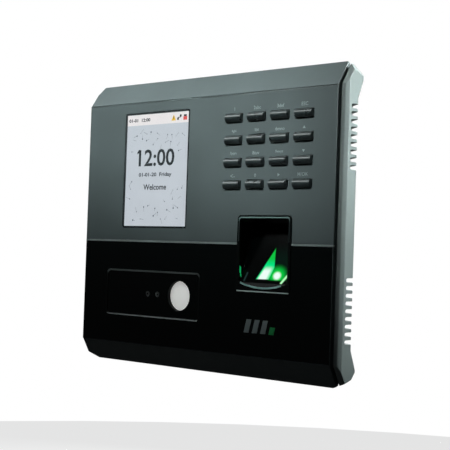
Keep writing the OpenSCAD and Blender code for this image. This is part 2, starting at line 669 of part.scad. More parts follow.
module lan_socket() {
  color([0.7, 0.71, 0.72]) difference() {
    box(-37, -21, main_back, main_back + 11.6, -32, -16);
    box(-35, -23, main_back + 1.6, main_back + 9.8, -33, -19);
  }
}

module usb_socket() {
  color([0.75, 0.76, 0.77]) {
    difference() {
      box(-15, -1.8, main_back, main_back + 6, -32, -18);
      box(-14.6, -2.2, main_back + 0.4, main_back + 5.6, -33, -19);
    }
    box(-13.6, -3.2, main_back + 0.4 - e, main_back + 1.6, -30, -19 + e);
  }
}

module power_jack() {
  color([0.06, 0.06, 0.06]) {
    difference() {
      box(3.4, 12.4, main_back, main_back + 10.6, -32, -18);
      translate([7.9, main_back + 6, -33]) cylinder(h = 11, r = 3.15);
    }
    translate([7.9, main_back + 6, -31]) cylinder(h = 10, r = 1);
  }
}

module wire_header() {
  color([0.92, 0.91, 0.86]) difference() {
    box(-47, -39.4, main_back, main_back + 5.6, -43, -18);
    box(-46, -40.4, main_back + 1.4, main_back + 6.4, -42, -19);
  }
}

module lock_relay() {
  color([0.1, 0.2, 0.5]) box(-2, 13.5, main_back, main_back + 10.4, 14, 33);
}

// flat ribbons, thin bent strips
module ribbon(pts, x, w, t) {
  translate([x, 0, 0]) for (i = [0 : len(pts) - 2]) {
    a = pts[i];
    b = pts[i + 1];
    d = norm(b - a);
    u = (b - a) / d;
    n = [-u[1], u[0]] * t / 2;
    side_prism([a - n - u * t / 2, b - n + u * t / 2, b + n + u * t / 2, a + n - u * t / 2], w);
  }
}

module screen_ribbon() {
  z0 = screen_z - screen_h / 2 - lcd_foot;
  color([0.75, 0.6, 0.25]) ribbon([[lcd_y + lcd_t + 0.25, z0 + 6], [lcd_y + lcd_t + 0.25, z0 - 3],
    [main_y - 0.9, z0 - 3], [main_y - 0.9, z0 - 6]], screen_x, 16, 0.3);
}

module keypad_ribbon() {
  color([0.9, 0.9, 0.88]) ribbon([[keyboard_y + pcb_t + 0.3, key_cz - 14], [keyboard_y + pcb_t + 0.3, key_cz + 10],
    [main_y - 1.9, key_cz + 10], [main_y - 1.9, 32]], key_cx - keypad_w / 2 + 1, 9, 0.3);
}

module finger_ribbon() {
  color([0.9, 0.9, 0.88]) ribbon([[yf + 24.2, gz0 + 12], [yf + 24.2, gz1 + 6],
    [main_back + 4, gz1 + 6], [main_back + 4, gz1 + 12]], guide_x - 6, 8, 0.3);
}

module camera_ribbon() {
  color([0.75, 0.6, 0.25]) ribbon([[yf + 8.6, cam_z + 2], [yf + 8.6, cam_z + 12],
    [main_y - 1.8, cam_z + 14], [main_y - 1.8, cam_z + 17]], lens_x - 6, 8, 0.3);
}

module case_screws() {
  color([0.55, 0.56, 0.57]) at_case_screws() difference() {
    union() {
      ycyl(0, 0, screw_seat, screw_seat + 1.8, 2.8);
      ycyl(0, 0, yf + 4.8, screw_seat + e, 1.45);
    }
    box(-0.4, 0.4, screw_seat + 0.8, screw_seat + 3, -1.6, 1.6);
    box(-1.6, 1.6, screw_seat + 0.8, screw_seat + 3, -0.4, 0.4);
  }
}

module board_screws() {
  color([0.55, 0.56, 0.57]) for (p = board_pts) {
    ycyl(p[0], p[1], main_y - 1.7, main_y, 2.8);
    ycyl(p[0], p[1], main_y - e, main_back + 6, 1.5);
  }
}

// neutral mark: three slanted bars and a short green one
module badge() {
  color([0.6, 0.62, 0.62]) for (i = [0 : 3]) {
    x = guide_x - 10.5 + i * 5;
    front_prism([[x, guide_z0 - 19.3], [x + 3, guide_z0 - 19.3], [x + 4.6, guide_z0 - (i == 3 ? 15.9 : 12.9)],
      [x + 1.6, guide_z0 - (i == 3 ? 15.9 : 12.9)]], yf - 0.12, yf);
  }
}

module tamper_plunger() {
  color([0.85, 0.85, 0.8]) {
    ycyl(switch_x, switch_z, rear_in - 3, -plate_t - 0.05, 2.1);
    ycyl(switch_x, switch_z, rear_in - 3, rear_in - 1.2, 3);
  }
}

module tamper_switch() {
  color([0.08, 0.08, 0.08]) difference() {
    union() {
      box(switch_x - 4, switch_x + 4, rear_in - 9, rear_in - 4.1, switch_z - 4, switch_z + 4);
      box(switch_x - 6, switch_x + 6, rear_in - 10.4, rear_in - 9 + e, switch_z - 6, switch_z + 6);
      for (s = [-1, 1]) box(switch_x + s * 5 - 1, switch_x + s * 5 + 1, rear_in - 9, rear_in, switch_z - 3, switch_z + 3);
    }
  }
}

wall_plate();
locking_screw();
rear_housing();
front_cover();
lower_panel();
trim_strip();
screen_window();
window_gasket();
lcd_module();
key_1();
key_2();
key_3();
key_esc();
key_4();
key_5();
key_6();
key_up();
key_7();
key_8();
key_9();
key_down();
key_back();
key_0();
key_next();
key_ok();
keypad_mat();
keypad_board();
main_board();
shield_can();
finger_guide();
finger_glass();
finger_prism();
finger_case();
finger_light_board();
finger_sensor_board();
camera_window();
camera_board();
camera_lenses();
flash_disc();
flash_board();
speaker();
speaker_ring();
clock_cell();
cell_holder();
lan_socket();
usb_socket();
power_jack();
wire_header();
lock_relay();
screen_ribbon();
keypad_ribbon();
finger_ribbon();
camera_ribbon();
case_screws();
board_screws();
badge();
tamper_plunger();
tamper_switch();
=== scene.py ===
# %% [markdown]
# # A fingerprint terminal for the wall
# This lesson dresses a finished CAD model of a wall terminal: a dark moulded body with a portrait
# screen, sixteen rounded keys, a gloss lower panel with a camera window, and a lit finger sensor.
# The CAD gives every size and place. Blender adds soft edges, print, light and surface finish.

# %% Load the fixed frame
import json
import math

import bmesh
import bpy
from mathutils import Matrix, Vector


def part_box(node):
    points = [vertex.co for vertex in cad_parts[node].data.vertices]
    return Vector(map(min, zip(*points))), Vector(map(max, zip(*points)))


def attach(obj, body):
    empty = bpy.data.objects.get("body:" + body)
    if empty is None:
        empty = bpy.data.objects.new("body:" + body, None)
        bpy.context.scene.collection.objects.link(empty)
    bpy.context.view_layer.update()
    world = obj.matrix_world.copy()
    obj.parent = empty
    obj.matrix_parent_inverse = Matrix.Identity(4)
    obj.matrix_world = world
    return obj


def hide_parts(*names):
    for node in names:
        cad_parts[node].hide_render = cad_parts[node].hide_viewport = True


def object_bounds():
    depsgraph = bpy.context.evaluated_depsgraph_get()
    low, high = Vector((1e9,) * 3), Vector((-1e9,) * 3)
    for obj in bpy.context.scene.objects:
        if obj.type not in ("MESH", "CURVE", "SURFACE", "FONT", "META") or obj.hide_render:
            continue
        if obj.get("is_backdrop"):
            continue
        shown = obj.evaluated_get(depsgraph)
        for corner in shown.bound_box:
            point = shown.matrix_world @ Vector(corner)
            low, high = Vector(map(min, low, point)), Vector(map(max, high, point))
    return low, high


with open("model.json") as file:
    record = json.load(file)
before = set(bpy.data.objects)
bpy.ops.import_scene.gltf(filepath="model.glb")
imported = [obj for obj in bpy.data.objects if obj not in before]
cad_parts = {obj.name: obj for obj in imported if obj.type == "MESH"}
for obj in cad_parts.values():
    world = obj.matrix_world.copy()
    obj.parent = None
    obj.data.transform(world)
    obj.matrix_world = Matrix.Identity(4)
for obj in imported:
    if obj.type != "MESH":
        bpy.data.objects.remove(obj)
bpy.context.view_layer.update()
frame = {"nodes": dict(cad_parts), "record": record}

MM = 0.001
scene = bpy.context.scene

# %% [markdown]
# ## Writing shaders as sums
# A finish is mostly arithmetic on a few noises. Wiring Math nodes by hand hides that, so one small
# class wraps an output socket and turns +, -, * and / into nodes, and one method makes any other
# node from its settings and socket values. The same two serve the Geometry Nodes trees.

# %% Wires and trees


class Wire:
    """One output socket. Arithmetic on it adds Math nodes."""

    def __init__(self, tree, socket):
        self.tree = tree
        self.socket = socket

    def __getitem__(self, name):
        return Wire(self.tree, self.socket.node.outputs[name])

    def math(self, operation, first, second=0.0):
        return self.tree.node("ShaderNodeMath", {"operation": operation}, {0: first, 1: second})

    def __add__(self, other):
        return self.math("ADD", self, other)

    def __radd__(self, other):
        return self.math("ADD", other, self)

    def __sub__(self, other):
        return self.math("SUBTRACT", self, other)

    def __rsub__(self, other):
        return self.math("SUBTRACT", other, self)

    def __mul__(self, other):
        return self.math("MULTIPLY", self, other)

    def __rmul__(self, other):
        return self.math("MULTIPLY", other, self)

    def __truediv__(self, other):
        return self.math("DIVIDE", self, other)

    def __abs__(self):
        return self.math("ABSOLUTE", self)

    def __pow__(self, other):
        return self.math("POWER", self, other)

    def at_least(self, other):
        return self.math("MAXIMUM", self, other)

    def at_most(self, other):
        return self.math("MINIMUM", self, other)

    def below(self, other):
        """1 where it is less than other, else 0."""
        return self.math("LESS_THAN", self, other)

    def fraction(self):
        return self.math("FRACT", self)

    def ramp(self, start, end):
        """0 below start, 1 above end, smooth between. Start may be the larger one."""
        return self.tree.node("ShaderNodeMapRange", {"interpolation_type": "SMOOTHSTEP"},
                              {0: self, 1: start, 2: end, 3: 0.0, 4: 1.0})


class Tree:
    """A node tree with one way to add a node."""

    def __init__(self, tree):
        self.tree = tree

    def node(self, kind, settings=None, sockets=None, out=0):
        made = self.tree.nodes.new(kind)
        for key, value in (settings or {}).items():
            setattr(made, key, value)
        for key, value in (sockets or {}).items():
            if isinstance(value, Wire):
                self.tree.links.new(value.socket, made.inputs[key])
            else:
                made.inputs[key].default_value = value
        return Wire(self, made.outputs[out]) if made.outputs else None

    def mix(self, first, second, share):
        """A colour between first and second."""
        return self.node("ShaderNodeMix", {"data_type": "RGBA"}, {0: share, 6: first, 7: second}, out=2)

    def noise(self, size_mm, where, detail=2.0, **more):
        """A noise whose lumps are about size_mm across, from 0 to 1."""
        return self.node("ShaderNodeTexNoise", more,
                         {"Scale": 1 / (size_mm * MM), "Detail": detail, "Vector": where})

    def place(self):
        """Object coordinates: metres in the model's own frame."""
        return self.node("ShaderNodeTexCoord")["Object"]

    def axes(self, where):
        """The X, Y and Z of a place."""
        return self.node("ShaderNodeSeparateXYZ", {}, {0: where})

    def stretched(self, where, scale):
        return self.node("ShaderNodeMapping", {}, {"Vector": where, "Scale": scale})

    def vector(self, x=0.0, y=0.0, z=0.0):
        return self.node("ShaderNodeCombineXYZ", {}, {"X": x, "Y": y, "Z": z})

    def random(self, low, high, seed):
        """A number for each copy, between low and high."""
        return self.node("FunctionNodeRandomValue", {"data_type": "FLOAT"},
                         {2: low, 3: high, "Seed": seed}, out=1)

    def moved(self, shape, where):
        return self.node("GeometryNodeTransform", {}, {"Geometry": shape, "Translation": where})

    def brick(self, size, where):
        """A block of a given size with its middle at where."""
        return self.moved(self.node("GeometryNodeMeshCube", {}, {"Size": size}), where)

    def copies(self, points, instance, **more):
        """The instance on every point."""
        return self.node("GeometryNodeInstanceOnPoints", {},
                         {"Points": points, "Instance": instance} | more)

    def linked(self, kind, settings, sockets):
        """A node with sockets that take several shapes, given as (name, wire) pairs."""
        made = self.tree.nodes.new(kind)
        for key, value in settings.items():
            setattr(made, key, value)
        for key, wire in sockets:
            self.tree.links.new(wire.socket, made.inputs[key])
        return Wire(self, made.outputs[0])

    def joined(self, *shapes):
        return self.linked("GeometryNodeJoinGeometry", {}, [(0, one) for one in reversed(shapes)])


def paint(red, green, blue):
    """A screen colour, 0 to 255, as the linear colour a shader wants."""
    return tuple((c / 12.92 if c <= 0.04045 else ((c + 0.055) / 1.055) ** 2.4)
                 for c in (red / 255, green / 255, blue / 255)) + (1.0,)


def scaled(colour, share):
    return tuple(c * share for c in colour[:3]) + (1.0,)


def fresh(name):
    """A new material with an empty tree."""
    material = bpy.data.materials.new(name)
    material.use_nodes = True
    material.node_tree.nodes.clear()
    return material, Tree(material.node_tree)


def finished(tree, sockets):
    """The principled shader with its sockets set or linked, on the material's output."""
    shader = tree.node("ShaderNodeBsdfPrincipled", {}, sockets)
    tree.node("ShaderNodeOutputMaterial", {}, {"Surface": shader})
    return shader


# %% [markdown]
# ## Camera and studio
# The terminal is looked at from its right, a little from below, through a longish lens, so its far
# side narrows only slightly. A camera matrix built from azimuth, elevation and roll keeps those
# three numbers readable. The set is a white surround that only the camera sees, with soft boxes
# doing the lighting: the gloss panel then mirrors darkness, as black plastic does in a studio.

# %% Camera


def aim(place_mm, azimuth, elevation, roll):
    """A camera matrix: azimuth 0 looks along +Y, roll turns the picture."""
    az, el, ro = (math.radians(a) for a in (azimuth, elevation, roll))
    back = Vector((math.sin(az) * math.cos(el), -math.cos(az) * math.cos(el), math.sin(el)))
    right = (-back).cross(Vector((0, 0, 1))).normalized()
    up = right.cross(-back)
    across = math.cos(ro) * right + math.sin(ro) * up
    upward = math.cos(ro) * up - math.sin(ro) * right
    turned = Matrix((across, upward, back)).transposed().to_4x4()
    return Matrix.Translation(Vector(place_mm) * MM) @ turned


camera = bpy.data.objects.new("camera", bpy.data.cameras.new("camera"))
camera.data.sensor_width = 36
camera.data.lens = 84.3
camera.matrix_world = aim((347.4, -417.6, -15.0), 40.643, -1.534, 1.968)
scene.collection.objects.link(camera)
scene.camera = camera
scene.view_settings.view_transform = "Standard"
print("camera", [round(v, 3) for v in camera.matrix_world.translation])

# %% Soft boxes
TINT = (0.92, 1.0, 0.99)


def soft_box(name, place, target, width, height, power, spread=180):
    """An area light at place, facing target, both in metres. A small spread is a gridded box."""
    lamp = bpy.data.lights.new(name, "AREA")
    lamp.shape = "RECTANGLE"
    lamp.size = width
    lamp.size_y = height
    lamp.energy = power
    lamp.spread = math.radians(spread)
    lamp.color = TINT
    box = bpy.data.objects.new(name, lamp)
    box.location = place
    box.rotation_mode = "QUATERNION"
    box.rotation_quaternion = (Vector(place) - Vector(target)).to_track_quat("Z", "Y")
    box.visible_camera = False
    scene.collection.objects.link(box)
    return box


soft_box("sky box", (0.0, -0.2, 0.9), (0.03, 0, 0), 0.9, 0.6, 0.5)
soft_box("left box", (-0.95, -0.75, 0.75), (-0.03, 0, 0.02), 0.9, 0.8, 0.15)
soft_box("face grid", (-0.13, -0.5, 0.5), (-0.08, -0.03, 0.060), 0.32, 0.04, 0.215, 11.5)
soft_box("side grid", (0.50, 0.16, 0.40), (0.084, -0.02, 0.074), 0.20, 0.12, 0.60, 25)
soft_box("right box", (0.9, 0.35, 0.45), (0.08, 0, 0.0), 0.8, 0.6, 0.55)
low_fill = soft_box("low fill", (-0.6, -0.45, -0.6), (0, 0, 0), 0.4, 0.5, 2.6)
low_fill.visible_glossy = False
sheen = soft_box("key sheen", (-0.62, -0.50, 0.60), (0.04, -0.03, 0.03), 0.5, 0.20, 1.2)
sheen.visible_diffuse = False
soft_box("back fill", (-0.5, 0.9, 0.35), (0, 0, 0), 0.7, 0.7, 5)

# %% White surround and floor
world = bpy.data.worlds.new("white surround")
world.use_nodes = True
scene.world = world
world.node_tree.nodes.clear()
sky = Tree(world.node_tree)
seen = sky.node("ShaderNodeBackground", {}, {"Color": (1, 1, 1, 1), "Strength": 1.0})
dim = sky.node("ShaderNodeBackground", {}, {"Color": (0.9, 0.97, 1.0, 1), "Strength": 0.02})
camera_sees = sky.node("ShaderNodeLightPath")["Is Camera Ray"]
either = sky.node("ShaderNodeMixShader", {}, {0: camera_sees, 1: dim, 2: seen})
sky.node("ShaderNodeOutputWorld", {}, {"Surface": either})

FLOOR_DROP = 0.36
floor_shape = bmesh.new()
bmesh.ops.create_circle(floor_shape, cap_ends=True, segments=64, radius=1.6,
                        matrix=Matrix.Translation((0, 0, -FLOOR_DROP)))
floor_mesh = bpy.data.meshes.new("floor")
floor_shape.to_mesh(floor_mesh)
floor_shape.free()
floor = bpy.data.objects.new("floor", floor_mesh)
scene.collection.objects.link(floor)
pale = bpy.data.materials.new("pale floor")
pale.use_nodes = True
pale_shader = pale.node_tree.nodes["Principled BSDF"]
pale_shader.inputs["Base Color"].default_value = (0.92, 0.92, 0.92, 1)
pale_shader.inputs["Roughness"].default_value = 0.9
pale_shader.inputs["Emission Color"].default_value = (1, 1, 1, 1)
pale_shader.inputs["Emission Strength"].default_value = 0.75
floor_mesh.materials.append(pale)
floor.visible_glossy = False
floor.visible_diffuse = False
floor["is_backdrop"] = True

# %% [markdown]
# ## Finishes
# Moulded plastic is never one flat colour. The mould has a fine spark texture, the pigment drifts a
# little across the part, and hands leave some places shinier than others. One function makes all
# the plastics from those three noises. Metal adds long brush strokes, gloss parts add hair
# scratches and smears, and boards carry tracks under a green mask.

# %% The shared surface


def surface(name, colour, roughness, metal=0.0, grain_mm=0.3, depth_mm=0.01, drift=0.12, smear=0.05,
            strokes=None, scratch=0.0, sockets=None):
    """One finish: colour drift, grain bump, smears in the shine, optional strokes or scratches."""
    material, tree = fresh(name)
    where = tree.place()
    broad = tree.noise(28, where, 1.0)
    patch = tree.noise(5, where, 3.0)
    fine_place = tree.stretched(where, strokes) if strokes else where
    fine = tree.noise(grain_mm, fine_place, 2.0)
    share = (broad * 0.7 + fine * 0.3).ramp(0.25, 0.75)
    base = tree.mix(scaled(colour, 1 - drift), scaled(colour, 1 + drift), share)
    shine = (patch - 0.5) * (2 * smear) + roughness
    height = fine
    if scratch:
        hair = tree.noise(0.5, tree.stretched(where, (1, 1, 0.04)), 1.0)
        cut = hair.ramp(0.70, 0.74)
        shine = shine + cut * scratch
        height = fine - cut * 0.3
    shine = shine.at_least(0.02).at_most(0.95)
    bump = tree.node("ShaderNodeBump", {}, {"Strength": 0.35, "Distance": depth_mm * MM, "Height": height})
    fixed = {"Base Color": base, "Roughness": shine, "Metallic": metal, "Normal": bump}
    return material, tree, finished(tree, fixed | (sockets or {}))


def plain(*what, **more):
    return surface(*what, **more)[0]


FINISHES = {
    "cover_plastic": ("cover plastic", (62, 70, 71), 0.46, {"grain_mm": 0.35, "depth_mm": 0.012}),
    "housing_plastic": ("housing plastic", (90, 97, 96), 0.48, {"grain_mm": 0.35, "depth_mm": 0.012}),
    "gloss_panel": ("gloss panel", (4, 7, 7), 0.10,
                    {"grain_mm": 2.0, "depth_mm": 0.001, "smear": 0.04, "scratch": 0.1}),
    "key_plastic": ("key plastic", (26, 33, 34), 0.29, {"grain_mm": 0.4, "depth_mm": 0.001, "sockets": {
        "Specular IOR Level": 1.0, "Coat Weight": 0.8, "Coat Roughness": 0.24}}),
    "guide_plastic": ("guide plastic", (7, 9, 9), 0.20, {"grain_mm": 1.0, "depth_mm": 0.002}),
    "trim": ("trim satin", (150, 160, 160), 0.35, {"metal": 0.6, "strokes": (0.05, 1, 1)}),
    "smoked_window": ("smoked window", (5, 7, 7), 0.07,
                      {"grain_mm": 2.0, "depth_mm": 0.0008, "smear": 0.03, "scratch": 0.08}),
    "plate_steel": ("plated steel", (178, 182, 186), 0.34,
                    {"metal": 1.0, "grain_mm": 0.25, "strokes": (1, 1, 0.03), "depth_mm": 0.004}),
    "screw_steel": ("screw steel", (150, 153, 156), 0.3, {"metal": 1.0, "grain_mm": 0.15, "depth_mm": 0.005}),
    "shield": ("tinned shield", (196, 198, 200), 0.28, {"metal": 1.0, "grain_mm": 0.6, "depth_mm": 0.004}),
    "black_plastic": ("black moulding", (30, 31, 32), 0.5, {}),
    "gasket_foam": ("gasket foam", (28, 28, 28), 0.9, {"grain_mm": 0.25, "depth_mm": 0.05}),
    "silicone": ("keypad rubber", (218, 217, 212), 0.7, {"grain_mm": 0.5}),
    # Painted glow: a faint emission lifts the flash diffuser's brightness beyond what the lamps give it.
    "diffuser_white": ("flash diffuser", (236, 236, 232), 0.38, {
        "grain_mm": 0.6, "depth_mm": 0.004, "drift": 0.03,
        "sockets": {"Emission Color": paint(255, 255, 252), "Emission Strength": 0.38}}),
    "board_white": ("white board", (228, 228, 224), 0.45, {"drift": 0.04}),
    "header_cream": ("header plastic", (226, 220, 200), 0.5, {"drift": 0.06}),
    "relay_blue": ("relay plastic", (34, 74, 160), 0.36, {}),
    "speaker_black": ("speaker cone", (44, 44, 46), 0.75, {"grain_mm": 0.5, "depth_mm": 0.03}),
    "lens_black": ("lens", (16, 16, 24), 0.06, {
        "grain_mm": 1.0, "depth_mm": 0.0005, "smear": 0.02,
        "sockets": {"Coat Weight": 1.0, "Coat Roughness": 0.02}}),
    "mark_grey": ("legend print", (122, 133, 133), 0.6, {"grain_mm": 0.2, "depth_mm": 0.004, "drift": 0.1}),
    "plunger_plastic": ("plunger plastic", (226, 224, 214), 0.42, {"drift": 0.05}),
    "cell_steel": ("cell steel", (206, 207, 208), 0.16, {"metal": 1.0, "depth_mm": 0.002}),
}
finish_of = {slot: plain(name, paint(*colour), roughness, **more)
             for slot, (name, colour, roughness, more) in FINISHES.items()}
finish_of |= {"display": finish_of["board_white"], "clear_window": finish_of["smoked_window"],
              "sensor_glass": finish_of["guide_plastic"]}
print("finishes:", len(bpy.data.materials))

# %% [markdown]
# Boards and ribbons carry a pattern rather than a grain. A wave folded into steps gives tracks and
# conductors; two directions multiplied together read as a routed board.

# %% Boards and ribbons


def striped(name, ground, line, pitch_mm, roughness, both_ways=False):
    """Fine parallel lines, as conductors in a ribbon or tracks on a board."""
    material, tree = fresh(name)
    where = tree.place()
    axes = tree.axes(where)
    bend = tree.noise(6, where, 1.0) * (1.2 if both_ways else 0.0)
    columns = axes["X"] / (pitch_mm * MM) + bend
    track = abs(columns.fraction() - 0.5).ramp(0.22, 0.28)
    if both_ways:
        rows = axes["Z"] / (3 * pitch_mm * MM) + bend
        track = track * abs(rows.fraction() - 0.5).ramp(0.1, 0.16)
    fine = tree.noise(0.4, where)
    base = tree.mix(ground, line, track)
    bump = tree.node("ShaderNodeBump", {}, {"Strength": 0.3, "Distance": 0.02 * MM, "Height": track})
    finished(tree, {"Base Color": base, "Roughness": (fine - 0.5) * 0.1 + roughness, "Normal": bump})
    return material


finish_of |= {
    "board_green": striped("green board", paint(16, 78, 44), paint(30, 112, 62), 0.9, 0.3, both_ways=True),
    "ribbon_amber": striped("amber ribbon", paint(190, 130, 40), paint(140, 88, 22), 1.0, 0.3),
    "ribbon_white": striped("pale ribbon", paint(226, 226, 220), paint(170, 172, 172), 1.0, 0.4),
}

# %% [markdown]
# ## Carried-over parts
# Parts that are already right in CAD keep their shape and only get a finish. The record says which
# slot each one takes, so a table from slot to finish dresses all of them in one pass.

# %% Dress every CAD node by its slot
slot_of = {row["node"]: row["material_slot"] for row in frame["record"]["subparts"]}
for node, cad in frame["nodes"].items():
    cad.data.materials.clear()
    cad.data.materials.append(finish_of[slot_of[node]])
print("dressed", len(frame["nodes"]), "nodes with", len(finish_of), "slots")

# %% [markdown]
# ## Soft edges
# A moulded part has no knife edges: each one is rounded a few tenths of a millimetre, and that
# round is what catches the light. The CAD mesh is loose triangles, so a copy is welded, its flat
# triangles are joined back into faces, and only its long sharp edges are bevelled. Everything
# shades smooth, with normals weighted by face area, so large flats stay flat.

# %% Piece maker and edge softener


def mesh_of(name, shape):
    """A mesh from a bmesh, which is used up."""
    mesh = bpy.data.meshes.new(name)
    shape.to_mesh(mesh)
    shape.free()
    return mesh


def even_out(made):
    """Bakes face-weighted normals, so wide flats stay flat right up to their rounded edges."""
    keep = made.modifiers.new("even", "WEIGHTED_NORMAL")
    keep.mode = "FACE_AREA"
    keep.weight = 100
    keep.keep_sharp = True
    ready = bpy.context.evaluated_depsgraph_get()
    mesh = bpy.data.meshes.new_from_object(made.evaluated_get(ready), depsgraph=ready)
    made.modifiers.clear()
    mesh.name = made.name
    made.data = mesh


def piece_from(name, mesh, finish, replaces=(), body="terminal", even=False):
    """A finished piece that rides on a body and stands in for the CAD nodes in replaces."""
    made = bpy.data.objects.new(name, mesh)
    scene.collection.objects.link(made)
    mesh.materials.clear()
    mesh.materials.append(finish)
    mesh.set_sharp_from_angle(angle=math.radians(38))
    if even:
        even_out(made)
    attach(made, body)
    if replaces:
        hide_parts(*replaces)
    return made


def piece(name, shape, finish, replaces=(), body="terminal", even=False):
    """The same from a bmesh."""
    return piece_from(name, mesh_of(name, shape), finish, replaces, body, even)


def welded(node):
    """A bmesh copy of a CAD node with its triangles joined into whole faces."""
    copy = bmesh.new()
    copy.from_mesh(frame["nodes"][node].data)
    bmesh.ops.remove_doubles(copy, verts=copy.verts, dist=0.002 * MM)
    bmesh.ops.dissolve_limit(copy, angle_limit=math.radians(0.5), verts=copy.verts, edges=copy.edges)
    return copy


def soften(shape, width_mm, angle=28):
    """Rounds the sharp edges of a bmesh that are longer than three widths."""
    width = width_mm * MM
    long_sharp = [e for e in shape.edges if len(e.link_faces) == 2
                  and e.calc_face_angle(0.0) > math.radians(angle) and e.calc_length() > 3 * width]
    bmesh.ops.bevel(shape, geom=long_sharp, offset=width, segments=2, profile=0.5,
                    affect="EDGES", clamp_overlap=False)
    for face in shape.faces:
        face.smooth = True
    return shape


def softened(name, node, width_mm, body="terminal", **more):
    """A CAD node copied with rounded edges, standing in for the node."""
    shape = soften(welded(node), width_mm, **more)
    slot = slot_of[node]
    made = piece(name, shape, finish_of[slot], (node,), body, True)
    print(name, "faces", len(made.data.polygons))


softened("front.cover", "front_cover", 0.3)
softened("rear.housing", "rear_housing", 0.3)
softened("gloss.panel", "lower_panel", 0.05)
softened("trim.line", "trim_strip", 0.1)
softened("wall.plate", "wall_plate", 0.15, body="wall_mount")
softened("locking.screw", "locking_screw", 0.15, body="locking_screw")

# %% [markdown]
# ## Recipes for what repeats
# A recipe is a Geometry Nodes tree with named sizes. It is built once and cooked as often as
# needed: cooking sets the sizes on a modifier, evaluates it and keeps the plain mesh. Every recipe
# ends by making its instances real and giving them their finish.

# %% Recipe tools
SHAPE, SIZE, WHOLE, FINISH = (f"NodeSocket{kind}" for kind in ("Geometry", "Float", "Int", "Material"))


def recipe(name, *sizes):
    """An empty Geometry Nodes tree with its named inputs, and the wire of the group input."""
    group = bpy.data.node_groups.new(name, "GeometryNodeTree")
    group.interface.new_socket("Shape", in_out="INPUT", socket_type=SHAPE)
    for size in sizes:
        kind = WHOLE if size in ("Count", "Seed") else SIZE
        group.interface.new_socket(size, in_out="INPUT", socket_type=kind)
    group.interface.new_socket("Finish", in_out="INPUT", socket_type=FINISH)
    group.interface.new_socket("Shape", in_out="OUTPUT", socket_type=SHAPE)
    tree = Tree(group)
    return tree, tree.node("NodeGroupInput")


def serve(tree, given, shape):
    """The end of every recipe: real geometry in its finish. Returns the recipe, ready to cook."""
    real = tree.node("GeometryNodeRealizeInstances", {}, {"Geometry": shape})
    dressed = tree.node("GeometryNodeSetMaterial", {}, {"Geometry": real, "Material": given["Finish"]})
    tree.node("NodeGroupOutput", {}, {"Shape": dressed})
    return tree


def cook(tree, name, sizes, finish, base=None):
    """Evaluates a recipe with its sizes and returns the plain mesh."""
    holder = bpy.data.objects.new(name + ".holder", base or bpy.data.meshes.new(name + ".base"))
    scene.collection.objects.link(holder)
    modifier = holder.modifiers.new("recipe", "NODES")
    modifier.node_group = tree.tree
    given_values = sizes | {"Finish": finish}
    for entry in tree.tree.interface.items_tree:
        if entry.in_out == "INPUT" and entry.name in given_values:
            modifier[entry.identifier] = given_values[entry.name]
    ready = bpy.context.evaluated_depsgraph_get()
    mesh = bpy.data.meshes.new_from_object(holder.evaluated_get(ready), depsgraph=ready)
    mesh.name = name
    bpy.data.objects.remove(holder)
    return mesh


# %% [markdown]
# ## Sixteen rounded keys
# Each cap is a small barrel: its front curves over from top to bottom, so the upper part catches
# the light and the lower part stays dark. That shape is a rule in two directions, so the cap is a
# fine block whose front points are pushed out by a formula: a round arc up and down, and a quick
# fall at both ends. The flange behind the cover and the stem on the rubber are blocks beside it.

# %% Key recipe
KEY_WIDE, KEY_TALL, KEY_PROUD, KEY_BRIM, KEY_ROOT = 10.4, 4.0, 1.9, 0.3, 2.7
END_START, END_SHARE = 0.9, 0.6
tree, given = recipe("key cap", "Wide", "Tall", "Proud", "Brim", "Root", "Back")
block = tree.node("GeometryNodeMeshCube", {}, {
    "Size": tree.vector(given["Wide"], 1.0, given["Tall"]),
    "Vertices X": 29, "Vertices Y": 2, "Vertices Z": 19})["Mesh"]
spot = tree.axes(tree.node("GeometryNodeInputPosition"))
across = abs(spot["X"]) / (given["Wide"] * 0.5)
upward = spot["Z"] / (given["Tall"] * 0.5)
barrel = (1.0 - upward * upward * 0.985) ** 0.55
end_fall = (across - END_START).at_least(0.0) / (1.0 - END_START)
proud = given["Brim"] + (given["Proud"] - given["Brim"]) * barrel * (1.0 - end_fall ** 2.6 * END_SHARE)
is_front = spot["Y"].below(0.0)
depth = is_front * (0.0 - proud) + (1.0 - is_front) * given["Root"]
cap = tree.node("GeometryNodeSetPosition", {}, {
    "Geometry": block, "Position": tree.vector(spot["X"], depth, spot["Z"])})
FLANGE_EDGE, FLANGE_THICK, STEM_WIDE, STEM_TALL = 0.9 * MM, 0.8 * MM, 4.4 * MM, 2.2 * MM
flange_size = tree.vector(given["Wide"] + 2 * FLANGE_EDGE, FLANGE_THICK, given["Tall"] + 2 * FLANGE_EDGE)
flange = tree.brick(flange_size, tree.vector(y=given["Root"] + FLANGE_THICK / 2))
stem = tree.brick(tree.vector(STEM_WIDE, given["Back"] - given["Root"], STEM_TALL),
                  tree.vector(y=(given["Back"] + given["Root"]) * 0.5))
smooth = tree.node("GeometryNodeSetShadeSmooth", {}, {"Geometry": cap})
key_recipe = serve(tree, given, tree.joined(smooth, flange, stem))

# %% Cook and place the keys
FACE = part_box("lower_panel")[0].y
key_names = [n for n in frame["nodes"] if n.startswith("key_")]
key_mid = {}
for name in key_names:
    low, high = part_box(name)
    key_mid[name] = (low + high) / 2
    mesh = cook(key_recipe, name + ".cap", {
        "Wide": KEY_WIDE * MM, "Tall": KEY_TALL * MM, "Proud": KEY_PROUD * MM, "Brim": KEY_BRIM * MM,
        "Root": KEY_ROOT * MM, "Back": high.y - FACE}, finish_of["key_plastic"])
    mesh.transform(Matrix.Translation((key_mid[name].x, FACE, key_mid[name].z)))
    piece_from(name + ".cap", mesh, finish_of["key_plastic"], (name,), name + "_cap")
print("keys:", len(key_names), "faces each:", len(mesh.polygons))

